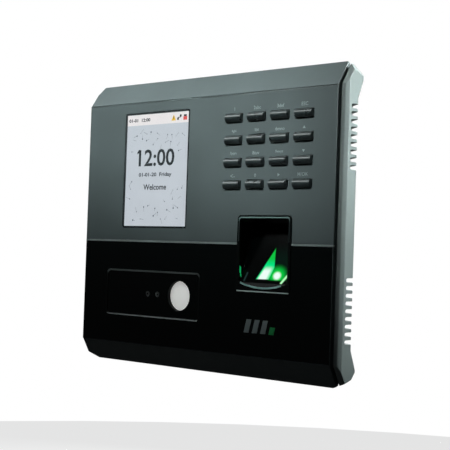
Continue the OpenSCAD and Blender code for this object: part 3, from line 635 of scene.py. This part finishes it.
# %% [markdown]
# ## Marks above the keys
# The numerals and letters are printed in light grey. Text becomes a mesh before it is placed, and
# all marks are joined as one thin layer of ink, a few hundredths of a millimetre proud of the face.

# %% Lettering tools
INK = 0.03


def words(text, wide_mm=None, tall_mm=None, bold=0.0):
    """Flat text as a bmesh, in the XZ plane with its middle at the origin, scaled to a size in mm."""
    curve = bpy.data.curves.new("words", "FONT")
    curve.body = text
    curve.align_x = "CENTER"
    curve.resolution_u = 3
    curve.offset = bold
    holder = bpy.data.objects.new("words.holder", curve)
    scene.collection.objects.link(holder)
    ready = bpy.context.evaluated_depsgraph_get()
    mesh = bpy.data.meshes.new_from_object(holder.evaluated_get(ready), depsgraph=ready)
    bpy.data.objects.remove(holder)
    flat = bmesh.new()
    flat.from_mesh(mesh)
    xs = [v.co.x for v in flat.verts]
    ys = [v.co.y for v in flat.verts]
    wide, tall = max(xs) - min(xs), max(ys) - min(ys)
    grow_z = (tall_mm * MM / tall) if tall_mm else (wide_mm * MM / wide)
    grow_x = (wide_mm * MM / wide) if wide_mm else grow_z
    mid_x, mid_y = (max(xs) + min(xs)) / 2, (max(ys) + min(ys)) / 2
    for v in flat.verts:
        v.co = Vector(((v.co.x - mid_x) * grow_x, 0, (v.co.y - mid_y) * grow_z))
    return flat


def outline(points):
    """A flat face from points in mm, in the XZ plane."""
    flat = bmesh.new()
    flat.faces.new([flat.verts.new((x * MM, 0, z * MM)) for x, z in points])
    return flat


def lay(target, flat, x, y, z):
    """Copies a flat shape into target with its middle at x, y, z in metres, facing the viewer."""
    bmesh.ops.remove_doubles(flat, verts=flat.verts, dist=1e-7)
    bmesh.ops.translate(flat, verts=flat.verts, vec=(x, y, z))
    for face in flat.faces:
        face.normal_update()
        if face.normal.y > 0:
            face.normal_flip()
    target.from_mesh(mesh_of("laid", flat))


def thicken(target, thick_mm, way=(0, 1, 0)):
    """Gives flat faces a little thickness, towards the back unless told, so they are closed solids.

    The backs and sides are made one by one, in the same order on every run."""
    shift = Vector(way) * thick_mm * MM
    fronts = list(target.faces)
    for face in fronts:
        face.normal_update()
        if face.normal.dot(shift) > 0:
            face.normal_flip()
    rim = [(loop.vert, loop.link_loop_next.vert) for face in fronts for loop in face.loops
           if loop.edge.is_boundary]
    behind = {v: target.verts.new(v.co + shift) for v in list(target.verts)}
    for face in fronts:
        target.faces.new([behind[v] for v in reversed(face.verts)])
    for start, end in rim:
        target.faces.new((end, start, behind[start], behind[end]))


# %% Print the key marks
UP = [(-0.8, -0.55), (0.8, -0.55), (0, 0.75)]
ARROWS = {"key_up": UP, "key_down": [(x, -z) for x, z in UP], "key_next": [(z, x) for x, z in UP]}
MARKS = {"key_1": "1", "key_2": "2abc", "key_3": "3def", "key_esc": "ESC", "key_4": "4ghi", "key_5": "5jkl",
         "key_6": "6mno", "key_7": "7pqrs", "key_8": "8tuv", "key_9": "9wxyz", "key_back": "<-", "key_0": "0",
         "key_ok": "M/OK"}
MARK_ABOVE, MARK_TALL = 4.3, 1.7
marks = bmesh.new()
for name in key_names:
    mid = key_mid[name]
    flat = outline(ARROWS[name]) if name in ARROWS else words(MARKS[name], tall_mm=MARK_TALL, bold=0.004)
    lay(marks, flat, mid.x, FACE - INK * MM, mid.z + MARK_ABOVE * MM)
thicken(marks, INK)
piece("key.marks", marks, finish_of["mark_grey"])
print("marks printed above", len(key_names), "keys")

# %% [markdown]
# ## The lit picture
# The panel shows a pale blue-grey ground with a white bar on top, a large clock, two lines of words
# and a faint net of dots and short lines near the corners. It gives its own light, so each colour
# is an emission. The net is scattered by a recipe with a fixed seed, kept out of the middle where
# the clock stands. All layers lie just behind the clear window.

# %% Picture finishes


def lit(name, colour, drift=0.02):
    """A lit colour of the picture, with the slight mottle of a panel."""
    material, tree = fresh(name)
    mottle = tree.noise(9, tree.place(), 2.0)
    shade = tree.mix(scaled(colour, 1 - drift), scaled(colour, 1 + drift), mottle)
    finished(tree, {"Base Color": paint(10, 10, 10), "Roughness": (mottle - 0.5) * 0.04 + 0.12,
                    "Emission Color": shade, "Emission Strength": 1.0})
    return material


ground_lit = lit("picture ground", paint(199, 206, 214), drift=0.05)
bar_lit = lit("picture bar", paint(240, 235, 235))
ink_lit = lit("picture ink", paint(2, 3, 6))
faint_lit = lit("picture grey ink", paint(30, 35, 42))
net_lit = lit("picture net", paint(84, 92, 104))
yellow_lit = lit("picture yellow", paint(236, 190, 40))
red_lit = lit("picture red", paint(226, 74, 70))

# %% Picture ground and bar
low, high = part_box("screen_window")
BORDER = 1.0
left, right = low.x + BORDER * MM, high.x - BORDER * MM
bottom, top = low.z + BORDER * MM, high.z - BORDER * MM
mid_x = (left + right) / 2
PICTURE_Y = FACE + 0.45 * MM
LAYER = 0.02 * MM


def sheet_of(x0, x1, z0, z1, y):
    """A flat rectangle given by its edges in metres."""
    flat = bmesh.new()
    flat.faces.new([flat.verts.new(c) for c in ((x0, y, z0), (x1, y, z0), (x1, y, z1), (x0, y, z1))])
    return flat


BAR_TALL = 5.6
bar_low = top - BAR_TALL * MM
for name, finish, z0, z1, replaced in (("picture.ground", ground_lit, bottom, bar_low, ("lcd_module",)),
                                       ("picture.bar", bar_lit, bar_low, top, ())):
    sheet = sheet_of(left, right, z0, z1, PICTURE_Y)
    thicken(sheet, 0.4)
    piece(name, sheet, finish, replaced)
print("picture mm:", round((right - left) / MM, 1), "by", round((top - bottom) / MM, 1))

# %% Words on the picture
ink_y = PICTURE_Y - LAYER


def printed(name, finish, *rows):
    """Flat shapes as one layer of ink, from (shape, x, z) in mm from the picture's lower left corner."""
    sheet = bmesh.new()
    for flat, x, z in rows:
        lay(sheet, flat, left + x * MM, ink_y, bottom + z * MM)
    thicken(sheet, 0.01)
    piece(name, sheet, finish)


TALL_MM = (top - bottom) / MM
flag = outline([(0.0, 0.0), (0.9, 0.0), (0.9, -1.4), (-1.1, -2.3), (-1.1, -1.3)])
printed("picture.words", ink_lit, (words("12:00", 25.6, 8.8, 0.018), 22.0, 35.4), (flag, 9.1, 39.8),
        (words("Welcome", 16.4, 3.0, 0.02), 21.5, 20.2))
printed("picture.small.words", faint_lit, (words("01-01-20  Friday", 23.6, 2.6, 0.03), 21.4, 26.4),
        (words("01-01  12:00", 15.5, 1.8, 0.035), 8.9, TALL_MM - 2.9))

# %% Small signs on the bar
sign_z = top - 2.8 * MM
signs = {"picture.warning": (yellow_lit, [(-1.6, -1.5), (1.6, -1.5), (0.0, 1.6)], -10.4),
         "picture.lock": (red_lit, [(-1.3, -1.5), (1.3, -1.5), (1.3, 0.3), (-1.3, 0.3)], -2.4)}
for name, (colour, points, from_right) in signs.items():
    flat = bmesh.new()
    lay(flat, outline(points), right + from_right * MM, ink_y, sign_z)
    thicken(flat, 0.01)
    piece(name, flat, colour)
dark_signs = bmesh.new()
for x, z, wide, tall in ((-7.4, -0.7, 1.2, 1.2), (-5.6, 0.8, 1.2, 1.2), (-6.5, 0.0, 1.9, 0.35),
                         (-2.4, 0.8, 2.0, 0.9), (-10.4, -0.1, 0.4, 1.3)):
    corners = [(wide / 2 * a, tall / 2 * b) for a, b in ((-1, -1), (1, -1), (1, 1), (-1, 1))]
    lay(dark_signs, outline(corners), right + x * MM, ink_y - LAYER / 2, sign_z + z * MM)
thicken(dark_signs, 0.01)
piece("picture.dark.signs", dark_signs, ink_lit)

# %% Net of dots and short lines
tree, given = recipe("picture net", "Gap", "Dot", "Reach", "Seed", "Middle X", "Middle Z", "Clear X",
                     "Clear Z")
dots = tree.node("GeometryNodeDistributePointsOnFaces", {"distribute_method": "POISSON"}, {
    "Mesh": given["Shape"], "Distance Min": given["Gap"], "Density Max": 90000.0, "Seed": given["Seed"]})
spot = tree.axes(tree.node("GeometryNodeInputPosition"))
off_x = (spot["X"] - given["Middle X"]) / given["Clear X"]
off_z = (spot["Z"] - given["Middle Z"]) / given["Clear Z"]
near = (off_x * off_x + off_z * off_z).below(1.0)
kept = tree.node("GeometryNodeDeleteGeometry", {"domain": "POINT"}, {"Geometry": dots, "Selection": near})
round_dot = tree.node("GeometryNodeMeshCircle", {"fill_type": "NGON"},
                      {"Vertices": 8, "Radius": given["Dot"]})
upright = tree.node("GeometryNodeTransform", {},
                    {"Geometry": round_dot, "Rotation": (math.radians(90), 0, 0)})
dot_size = tree.random(0.35, 1.3, 8)
spots = tree.copies(kept, upright, Scale=tree.vector(dot_size, 1.0, dot_size))
turn = tree.random(0.0, 6.28, 5)
reach = tree.random(0.4, 1.0, 6)
stroke = tree.brick(tree.vector(given["Reach"], 0.01 * MM, given["Dot"] * 0.35),
                    tree.vector(given["Reach"] * 0.5))
strokes = tree.copies(kept, stroke, Rotation=tree.vector(y=turn), Scale=tree.vector(reach, 1.0, 1.0))
net_recipe = serve(tree, given, tree.joined(spots, strokes))
field = mesh_of("net field", sheet_of(left + 3 * MM, right - 3 * MM, bottom + 3 * MM, top - 8.9 * MM, ink_y))
net = cook(net_recipe, "picture.net", {
    "Gap": 2.7 * MM, "Dot": 0.36 * MM, "Reach": 3.0 * MM, "Seed": 11, "Middle X": mid_x,
    "Middle Z": bottom + 28 * MM, "Clear X": 18 * MM, "Clear Z": 14 * MM}, net_lit, field)
piece_from("picture.net", net, net_lit)
print("net faces", len(net.polygons))

# %% [markdown]
# ## Clear windows
# The picture's window is a thin clear sheet with a black printed border. Mostly transparent, it
# adds only a sheen. The shader's own alpha does this, with no light bent through it: at this
# thickness the bend can't be seen, and the render stays clean.

# %% Screen window
clear_finish = plain("clear window", paint(120, 130, 134), 0.05, grain_mm=2.0, depth_mm=0.0005, smear=0.02,
                     sockets={"Alpha": 0.07})


def round_rect(x0, x1, z0, z1, radius, steps=6):
    """Corner points of a rounded rectangle, in metres, anticlockwise from the lower right."""
    points = []
    for cx, cz, start in ((x1 - radius, z0 + radius, -90), (x1 - radius, z1 - radius, 0),
                          (x0 + radius, z1 - radius, 90), (x0 + radius, z0 + radius, 180)):
        for step in range(steps + 1):
            angle = math.radians(start + 90 * step / steps)
            points.append((cx + radius * math.cos(angle), cz + radius * math.sin(angle)))
    return points


def ring(outer, inner, y_front, y_back):
    """A closed flat frame between two outlines with the same number of points."""
    shape = bmesh.new()
    rows = []
    for points, y in ((outer, y_front), (inner, y_front), (inner, y_back), (outer, y_back)):
        rows.append([shape.verts.new((x, y, z)) for x, z in points])
    count = len(outer)
    for row, following in zip(rows, rows[1:] + rows[:1]):
        for i in range(count):
            j = (i + 1) % count
            shape.faces.new((row[i], row[j], following[j], following[i]))
    bmesh.ops.recalc_face_normals(shape, faces=shape.faces)
    return shape


def slab(points, y_front, y_back):
    """A closed plate with a given outline."""
    shape = bmesh.new()
    front_row = [shape.verts.new((x, y_front, z)) for x, z in points]
    back_row = [shape.verts.new((x, y_back, z)) for x, z in points]
    shape.faces.new(front_row)
    shape.faces.new(list(reversed(back_row)))
    for i in range(len(points)):
        j = (i + 1) % len(points)
        shape.faces.new((front_row[i], front_row[j], back_row[j], back_row[i]))
    bmesh.ops.recalc_face_normals(shape, faces=shape.faces)
    return shape


low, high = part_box("screen_window")
edge = round_rect(low.x, high.x, low.z, high.z, 0.9 * MM)
window = soften(slab(edge, low.y + 0.02 * MM, low.y + 0.32 * MM), 0.06)
piece("screen.window", window, clear_finish, ("screen_window",))
frame_ring = ring(edge, round_rect(left, right, bottom, top, 0.3 * MM), low.y + 0.34 * MM, low.y + 1.0 * MM)
piece("screen.border", frame_ring, finish_of["smoked_window"])

# %% [markdown]
# ## Finger guide, glass and green glow
# The guide is a polished black trough with a thin lip. Its light top and curved front edge are painted
# highlights on thin strips. Behind the sensing glass, green lamps shine into a prism. What is seen is a
# sharp green wedge with a white-hot foot, a second bright patch beside it and glints on the walls. The
# wedge and patches are painted light, drawn as emission by distance formulas on one tilted plate so they
# stay crisp, and the wall glints are painted glints on thin emissive strips.

# %% Guide
softened("finger.guide", "finger_guide", 0.3, angle=30)
low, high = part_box("finger_guide")
mouth_low, mouth_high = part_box("finger_glass")
GUIDE_X = (mouth_low.x + mouth_high.x) / 2
GUIDE_H, GUIDE_WALL, GUIDE_DEEP, LIP_TALL, TOP_EDGE = 36.3, 1.7, 10.6, 2.2, 1.6
GUIDE_TOP = high.z - TOP_EDGE * MM
GUIDE_LOW = GUIDE_TOP - GUIDE_H * MM
LIP_Z = GUIDE_LOW + LIP_TALL * MM
DEEP_Z = GUIDE_TOP - GUIDE_WALL * MM
LEAN = GUIDE_DEEP * MM / (DEEP_Z - LIP_Z)
STRETCH = math.sqrt(1 + LEAN * LEAN)


def painted_light_by_height(name, dark, *steps):
    """A gloss finish with painted highlights: from dark it turns to each (colour, from height, to height in
    metres) in turn.
    """
    material, tree, shader = surface(name, dark, 0.3, grain_mm=1.0, depth_mm=0.001)
    height = tree.axes(tree.place())["Z"]
    blend = dark
    for colour, start, end in steps:
        blend = tree.mix(blend, colour, height.ramp(start, end))
    tree.tree.links.new(blend.socket, shader.socket.node.inputs["Base Color"])
    return material


def strip(points, width_mm, y_front, y_back):
    """A closed ribbon of a given width along a line of (x, z) points in metres."""
    half = width_mm * MM / 2
    outer, inner = [], []
    for i, (x, z) in enumerate(points):
        ax, az = points[max(i - 1, 0)]
        bx, bz = points[min(i + 1, len(points) - 1)]
        long = math.hypot(bx - ax, bz - az)
        nx, nz = -(bz - az) / long, (bx - ax) / long
        outer.append((x + nx * half, z + nz * half))
        inner.append((x - nx * half, z - nz * half))
    return slab(outer + inner[::-1], y_front, y_back)


# Painted highlight: the lip is dark, painted lighter towards its top where light from above would catch it.
lip_painted_highlight = painted_light_by_height("guide lip painted highlight", paint(16, 22, 23),
                             (paint(94, 115, 113), GUIDE_TOP - 3.2 * MM, GUIDE_TOP - 0.6 * MM))
LIP_Y = low.y
half, above, bend = 15.1 * MM, GUIDE_TOP - 0.95 * MM, 1.4 * MM
lip_line = [(GUIDE_X - half, -9 * MM), (GUIDE_X - half, above - bend)]
lip_line += [(GUIDE_X - half + bend * (1 - math.cos(a)), above - bend + bend * math.sin(a))
             for a in (0.5, 1.0, 1.3)]
lip_line += [(2 * GUIDE_X - x, z) for x, z in lip_line[::-1]]


def lip_piece(name, line, wide_mm, proud_mm, finish):
    """A thin strip on the front edge of the guide, carrying a painted highlight."""
    shape = strip(line, wide_mm, LIP_Y - proud_mm * MM, LIP_Y + 0.2 * MM)
    piece(name, shape, finish)


lip_piece("guide.lip", lip_line, 0.65, 0.04, lip_painted_highlight)
ARC_RADIUS, ARC_LEFT, ARC_WIDE, ARC_STEPS = 41 * MM, -13.3, 24.6, 24
arc = []
for step in range(ARC_STEPS + 1):
    off = (ARC_LEFT + ARC_WIDE * step / ARC_STEPS) * MM
    arc.append((GUIDE_X + off, LIP_Z + ARC_RADIUS - 0.15 * MM - math.sqrt(ARC_RADIUS ** 2 - off * off)))
lit_edge = {"grain_mm": 1.5, "depth_mm": 0.002}
# Painted highlight: the curved front edge of the guide, painted pale teal.
arc_painted_highlight = plain("lit lip", paint(138, 178, 174), 0.3, drift=0.25, **lit_edge)
lip_piece("guide.front.arc", arc, 0.85, 0.04, arc_painted_highlight)
foot = [(GUIDE_X + off * MM, GUIDE_LOW + 0.35 * MM) for off in (-15.4, 15.6)]
# Painted highlight: a light line painted along the guide's bottom edge.
foot_painted_highlight = plain("lit foot", paint(176, 188, 187), 0.35, drift=0.2, **lit_edge)
lip_piece("guide.foot.line", foot, 0.55, 0.03, foot_painted_highlight)
print("guide leans back", round(math.degrees(math.atan(LEAN)), 1), "degrees")

# %% Glow on the sensing glass
GREEN, MINT, HOT = paint(12, 196, 66), paint(0, 226, 132), paint(236, 255, 246)
WEDGE = [(2.6, 19.8), (-5.0, 4.2), (2.6, 4.3), (4.4, 10.2)]
glow, tree = fresh("finger glow")
axes = tree.axes(tree.place())
u = (axes["X"] - GUIDE_X) / MM
v = (axes["Z"] - LIP_Z) * (STRETCH / MM)


def from_line(start, stop):
    """How far (u, v) lies along a line between two points and to its left, and its length, in mm."""
    run_u, run_v = stop[0] - start[0], stop[1] - start[1]
    long = math.hypot(run_u, run_v)
    du, dv = u - start[0], v - start[1]
    return du * (run_u / long) + dv * (run_v / long), dv * (run_u / long) - du * (run_v / long), long


def near_line(start, stop, full, gone):
    """1 on the short line between two points, fading to 0."""
    along, aside, long = from_line(start, stop)
    past = along - along.at_least(0.0).at_most(long)
    return ((past * past + aside * aside) ** 0.5).ramp(gone, full)


sides = [from_line(a, b)[1] for a, b in zip(WEDGE, WEDGE[1:] + WEDGE[:1])]
inside = sides[0].at_most(sides[1]).at_most(sides[2]).at_most(sides[3])
wedge = inside.ramp(-0.25, 0.35)
foot_heat = v.ramp(11.4, 8.0) * sides[0].ramp(0.2, 1.6) * sides[2].ramp(-0.2, 2.4)
round_two = (((u - 7.0) * (u - 7.0) + (v - 6.3) * (v - 6.3) * 1.3) ** 0.5)
clip_low = v.ramp(3.6, 4.6)
halo = round_two.ramp(7.2, 2.0) ** 1.2 * clip_low
core = round_two.ramp(2.9, 1.2) * clip_low
dim_green = u.ramp(2.0, 5.0) * v.ramp(3.0, 6.0) * v.ramp(23.0, 14.0)
# Painted light: the green of the lamps behind the prism is drawn as emission, a faint wash, then a second
# bright patch with its halo.
shade = tree.mix(paint(0, 0, 0), paint(2, 20, 13), dim_green)
shade = tree.mix(shade, paint(2, 206, 66), halo)
shade = tree.mix(shade, HOT, core)
warm = tree.mix(tree.mix(GREEN, MINT, v.ramp(15.0, 11.0)), HOT, foot_heat)
shade = tree.mix(shade, warm, wedge)
# Painted reflections: a bright streak low on the right where the front arc meets the side, and a faint teal
# streak low on the left.
shade = tree.mix(shade, paint(180, 255, 190), near_line((10.3, 2.9), (13.0, 6.6), 0.2, 0.9))
shade = tree.mix(shade, paint(30, 52, 50), near_line((-11.0, 7.1), (-12.0, 3.4), 0.15, 0.7))
finished(tree, {
    "Base Color": paint(1, 2, 2), "Roughness": (tree.noise(3, tree.place()) - 0.5) * 0.05 + 0.12,
    "Specular IOR Level": 0.12, "Emission Color": shade, "Emission Strength": 1.0})


def on_slope(across_mm, along_mm, lift_mm):
    """A point on the leaning glass, from the lip's middle."""
    height = along_mm * MM / STRETCH
    return Vector((GUIDE_X + across_mm * MM, FACE + LEAN * height - lift_mm * MM, LIP_Z + height))


film = bmesh.new()
corners = [(-13.8, 2.4), (13.8, 2.4), (13.8, 30.5), (-13.8, 30.5)]
front_row = [film.verts.new(on_slope(a, b, 0.12)) for a, b in corners]
back_row = [film.verts.new(on_slope(a, b, 0.02)) for a, b in corners]
film.faces.new(front_row)
film.faces.new(back_row[::-1])
for i in range(4):
    film.faces.new((front_row[i], back_row[i], back_row[(i + 1) % 4], front_row[(i + 1) % 4]))
bmesh.ops.recalc_face_normals(film, faces=film.faces)
piece("finger.glow", film, glow, ("finger_glass",))
# Painted glints: two thin emissive strips on the guide's left wall stand in for green light reflected there.
glint_finish = lit("painted green glint", paint(14, 150, 84), drift=0.6)
wall_x = GUIDE_X - 14.4 * MM
glint = bmesh.new()
for y0, y1, z0, z1 in ((-30.2, -29.2, -24.6, -20.6), (-29.6, -28.9, -26.2, -24.0)):
    points = [(y0, z0 + 0.8), (y1, z0), (y1, z1 - 0.8), (y0, z1)]
    glint.faces.new([glint.verts.new((wall_x + 0.03 * MM, y * MM, z * MM)) for y, z in points])
thicken(glint, 0.03, (1, 0, 0))
piece("guide.glint", glint, glint_finish)
print("glow drawn in", len(glow.node_tree.nodes), "nodes")

# %% [markdown]
# ## Camera window and flash
# The smoked window sits in the gloss panel like a dark pool. Only its chamfer shows, as painted
# highlights: a grey line painted along the top and a lighter one along the bottom, fading out at the
# ends. Two lenses show faintly through it. The flash is an opal disc set a little back in a round hole
# with a black liner; a faint emission gives it a painted glow.

# %% Camera window, lenses
low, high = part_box("camera_window")
softened("camera.window", "camera_window", 0.1)
cam_mid_z = (low.z + high.z) / 2
# Painted highlights: the ring is dark, painted grey towards its top and near white towards its bottom, where
# its chamfer would catch light.
chamfer = painted_light_by_height("window chamfer painted highlights", paint(5, 7, 7),
                          (paint(70, 75, 75), high.z - 2.6 * MM, high.z - 0.9 * MM),
                          (paint(226, 232, 232), low.z + 0.9 * MM, low.z + 0.2 * MM))
outer = round_rect(low.x - 0.1 * MM, high.x + 0.1 * MM, low.z - 0.1 * MM, high.z + 0.1 * MM, 2.4 * MM)
inner = round_rect(low.x + 0.7 * MM, high.x - 0.7 * MM, low.z + 0.6 * MM, high.z - 0.8 * MM, 1.8 * MM)
piece("window.chamfer", ring(outer, inner, FACE - 0.04 * MM, low.y + 0.3 * MM), chamfer)


def disc(x, z, radius, steps):
    """Points of a circle in metres, for slab and ring."""
    turn = 2 * math.pi / steps
    return [(x + radius * math.cos(turn * i), z + radius * math.sin(turn * i)) for i in range(steps)]


lens_low, lens_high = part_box("camera_lenses")
lens_gap = (lens_high.x - lens_low.x) - 6.4 * MM
lens_mid = (lens_high.x + lens_low.x) / 2
ghost_finish = plain("lens seen through", paint(84, 88, 88), 0.3, grain_mm=0.8, depth_mm=0.001, drift=0.5)
pupil_finish = plain("lens pupil", paint(8, 9, 10), 0.2, grain_mm=0.8, depth_mm=0.001)
ghosts = bmesh.new()
pupils = bmesh.new()
for side in (-0.5, 0.5):
    lens_x = lens_mid + side * lens_gap
    for target, radius, lift in ((ghosts, 1.4, 0.01), (pupils, 0.45, 0.02)):
        lay(target, outline(disc(0, 0, radius, 24)), lens_x, low.y - lift * MM, cam_mid_z)
thicken(ghosts, 0.01)
thicken(pupils, 0.01)
piece("lens.ghosts", ghosts, ghost_finish)
piece("lens.pupils", pupils, pupil_finish)

# %% Flash disc turned on a lathe


def lathe(profile, x, z, steps=64):
    """A solid turned about a line along Y from (radius, y) pairs in metres, first and last on the axis."""
    shape = bmesh.new()
    rings = []
    for radius, y in profile:
        points = disc(x, z, radius, steps) if radius else [(x, z)]
        rings.append([shape.verts.new((px, y, pz)) for px, pz in points])
    for a, b in zip(rings, rings[1:]):
        for i in range(steps):
            j = (i + 1) % steps
            corners = [a[i % len(a)], a[j % len(a)], b[j % len(b)], b[i % len(b)]]
            shape.faces.new(list(dict.fromkeys(corners)))
    bmesh.ops.recalc_face_normals(shape, faces=shape.faces)
    for face in shape.faces:
        face.smooth = True
    return shape


low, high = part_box("flash_disc")
flash_x, flash_z = (low.x + high.x) / 2, (low.z + high.z) / 2
DISC_RADIUS, COLLAR_RADIUS, COLLAR_THICK = 7.8, 9.2, 1.0
dome = [(0, low.y)]
dome += [(r * MM, low.y + 0.35 * MM * (r / DISC_RADIUS) ** 3) for r in (1, 2, 3, 4, 5, 6, 6.8, 7.4, 7.75)]
collar_y = high.y - COLLAR_THICK * MM
dome += [(DISC_RADIUS * MM, low.y + 0.5 * MM), (DISC_RADIUS * MM, collar_y), (COLLAR_RADIUS * MM, collar_y),
         (COLLAR_RADIUS * MM, high.y), (0, high.y)]
liner_finish = plain("flash liner", paint(3, 3, 3), 0.9, grain_mm=0.4, depth_mm=0.01)
liner = ring(*(disc(flash_x, flash_z, radius * MM, 64) for radius in (7.6, 7.42)),
             FACE + 0.3 * MM, low.y - 0.02 * MM)
piece("flash.liner", liner, liner_finish)
piece("flash.disc", lathe(dome, flash_x, flash_z), finish_of["diffuser_white"],
      ("flash_disc",))
print("flash disc at x", round(flash_x / MM, 1), "z", round(flash_z / MM, 1))

# %% Neutral badge
low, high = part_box("badge")
green_print = plain("green print", paint(20, 150, 78), 0.5, grain_mm=0.2, depth_mm=0.003)
BAR_WIDE, BAR_PITCH, BAR_LEAN, TICK_SHARE = 3.0, 5.0, 0.25, 0.54
bars, tick = bmesh.new(), bmesh.new()
for i in range(4):
    tall_mm = (high.z - low.z) / MM * (TICK_SHARE if i == 3 else 1.0)
    lean = BAR_LEAN * tall_mm
    points = [(0, 0), (BAR_WIDE, 0), (BAR_WIDE + lean, tall_mm), (lean, tall_mm)]
    lay(tick if i == 3 else bars, outline(points), low.x + i * BAR_PITCH * MM, low.y, low.z)
thicken(bars, 0.12)
thicken(tick, 0.12)
piece("badge.bars", bars, finish_of["mark_grey"], ("badge",))
piece("badge.tick", tick, green_print)

# %% [markdown]
# ## Screws, contacts and small parts
# What repeats is cooked from recipes: a cross-head screw is a turned head with a cross cut from it,
# a contact row is one small bar set out along a line, and the little parts on the main board are
# scattered with a fixed seed on a patch of its back, where the wall side's opening shows them.

# %% Screw recipe
tree, given = recipe("cross screw", "Head", "Tall", "Shank", "Long", "Slot")
head = tree.node("GeometryNodeMeshCylinder", {}, {
    "Vertices": 40, "Radius": given["Head"], "Depth": given["Tall"]})["Mesh"]
head = tree.moved(head, tree.vector(z=given["Tall"] * 0.5))
reach = given["Head"] * 1.15
bar_one = tree.brick(tree.vector(given["Slot"], reach, given["Tall"]), tree.vector(z=given["Tall"]))
bar_two = tree.brick(tree.vector(reach, given["Slot"], given["Tall"]), tree.vector(z=given["Tall"]))
cut = tree.linked("GeometryNodeMeshBoolean", {"operation": "DIFFERENCE"},
                  [("Mesh 1", head), ("Mesh 2", bar_two), ("Mesh 2", bar_one)])
shank = tree.node("GeometryNodeMeshCylinder", {}, {
    "Vertices": 24, "Radius": given["Shank"], "Depth": given["Long"]})["Mesh"]
shank = tree.moved(shank, tree.vector(z=given["Long"] * -0.5))
screw_recipe = serve(tree, given, tree.joined(cut, shank))


def corner_screws(name, node, head_tall_mm, shank_mm, outward):
    """Screws at the corners of a node's box. Outward is 1 when heads face the wall, -1 to the front."""
    low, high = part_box(node)
    tall, radius = head_tall_mm * MM, 2.8 * MM
    finish = finish_of["screw_steel"]
    mesh = cook(screw_recipe, name + ".one", {
        "Head": radius, "Tall": tall, "Shank": shank_mm * MM, "Long": high.y - low.y - tall,
        "Slot": 0.8 * MM}, finish)
    seat_y = high.y - tall if outward > 0 else low.y + tall
    made = bmesh.new()
    for x in (low.x + radius, high.x - radius):
        for z in (low.z + radius, high.z - radius):
            twist = Matrix.Rotation(x * 40 + z * 11, 4, "Z")
            turn = Matrix.Rotation(math.radians(-90 * outward), 4, "X") @ twist
            copy = mesh.copy()
            copy.transform(Matrix.Translation((x, seat_y, z)) @ turn)
            made.from_mesh(copy)
            bpy.data.meshes.remove(copy)
    piece(name, made, finish, (node,))


corner_screws("case.screws", "case_screws", 1.8, 1.45, 1)
corner_screws("board.screws", "board_screws", 1.7, 1.5, -1)
print("screws: 8")

# %% Contact rows
tree, given = recipe("contact row", "Count", "Pitch", "Wide", "Deep", "Tall")
line = tree.node("GeometryNodeMeshLine", {}, {
    "Count": given["Count"], "Offset": tree.vector(given["Pitch"])})
bar_one = tree.node("GeometryNodeMeshCube", {}, {
    "Size": tree.vector(given["Wide"], given["Deep"], given["Tall"])})["Mesh"]
row_recipe = serve(tree, given, tree.copies(line, bar_one))
gold_finish = plain("contact gold", paint(226, 186, 96), 0.25, metal=1.0, grain_mm=0.2)


def contacts(name, x0, y, z, count, pitch, wide, deep, tall, upright=False):
    """A row of bars from x0 in mm, or up from z when upright."""
    mesh = cook(row_recipe, name, {"Count": count, "Pitch": pitch * MM, "Wide": wide * MM,
                                   "Deep": deep * MM, "Tall": tall * MM}, gold_finish)
    if upright:
        mesh.transform(Matrix.Rotation(math.radians(-90), 4, "Y"))
    mesh.transform(Matrix.Translation((x0 * MM, y, z * MM)))
    piece_from(name, mesh, gold_finish)


board_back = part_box("lan_socket")[0].y
contacts("lan.contacts", -32.6, board_back + 8.9 * MM, -25.0, 8, 1.02, 0.45, 1.2, 11.0)
contacts("usb.contacts", -11.4, board_back + 1.75 * MM, -25.0, 4, 2.0, 1.0, 0.2, 8.0)
contacts("header.pins", -43.2, board_back + 3.0 * MM, -40.2, 8, 2.8, 1.0, 3.2, 1.0, upright=True)

# %% Small parts scattered on the main board
tree, given = recipe("small parts", "Gap", "Seed")
spots = tree.node("GeometryNodeDistributePointsOnFaces", {"distribute_method": "POISSON"}, {
    "Mesh": given["Shape"], "Distance Min": given["Gap"], "Density Max": 60000.0, "Seed": given["Seed"]})
chip = tree.node("GeometryNodeMeshCube", {}, {"Size": (1.6 * MM, 0.8 * MM, 0.9 * MM)})["Mesh"]
quarter = tree.node("FunctionNodeRandomValue", {"data_type": "INT"}, {4: 0, 5: 1, "Seed": 3}, out=2)
grow = tree.random(0.6, 1.5, 9)
parts = tree.copies(spots, chip, Rotation=tree.vector(y=quarter * math.radians(90)),
                    Scale=tree.vector(grow, 1.0, grow))
part_recipe = serve(tree, given, parts)
for name, seed, gap, slot in (("board.small.parts", 4, 3.4, "black_plastic"),
                              ("board.pale.parts", 7, 4.6, "header_cream")):
    patch = mesh_of("patch", sheet_of(-37 * MM, 17 * MM, -44 * MM, -34 * MM, board_back + 0.38 * MM))
    mesh = cook(part_recipe, name, {"Gap": gap * MM, "Seed": seed}, finish_of[slot], patch)
    piece_from(name, mesh, finish_of[slot])
print("small parts cooked")

# %% Last lines
low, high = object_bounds()
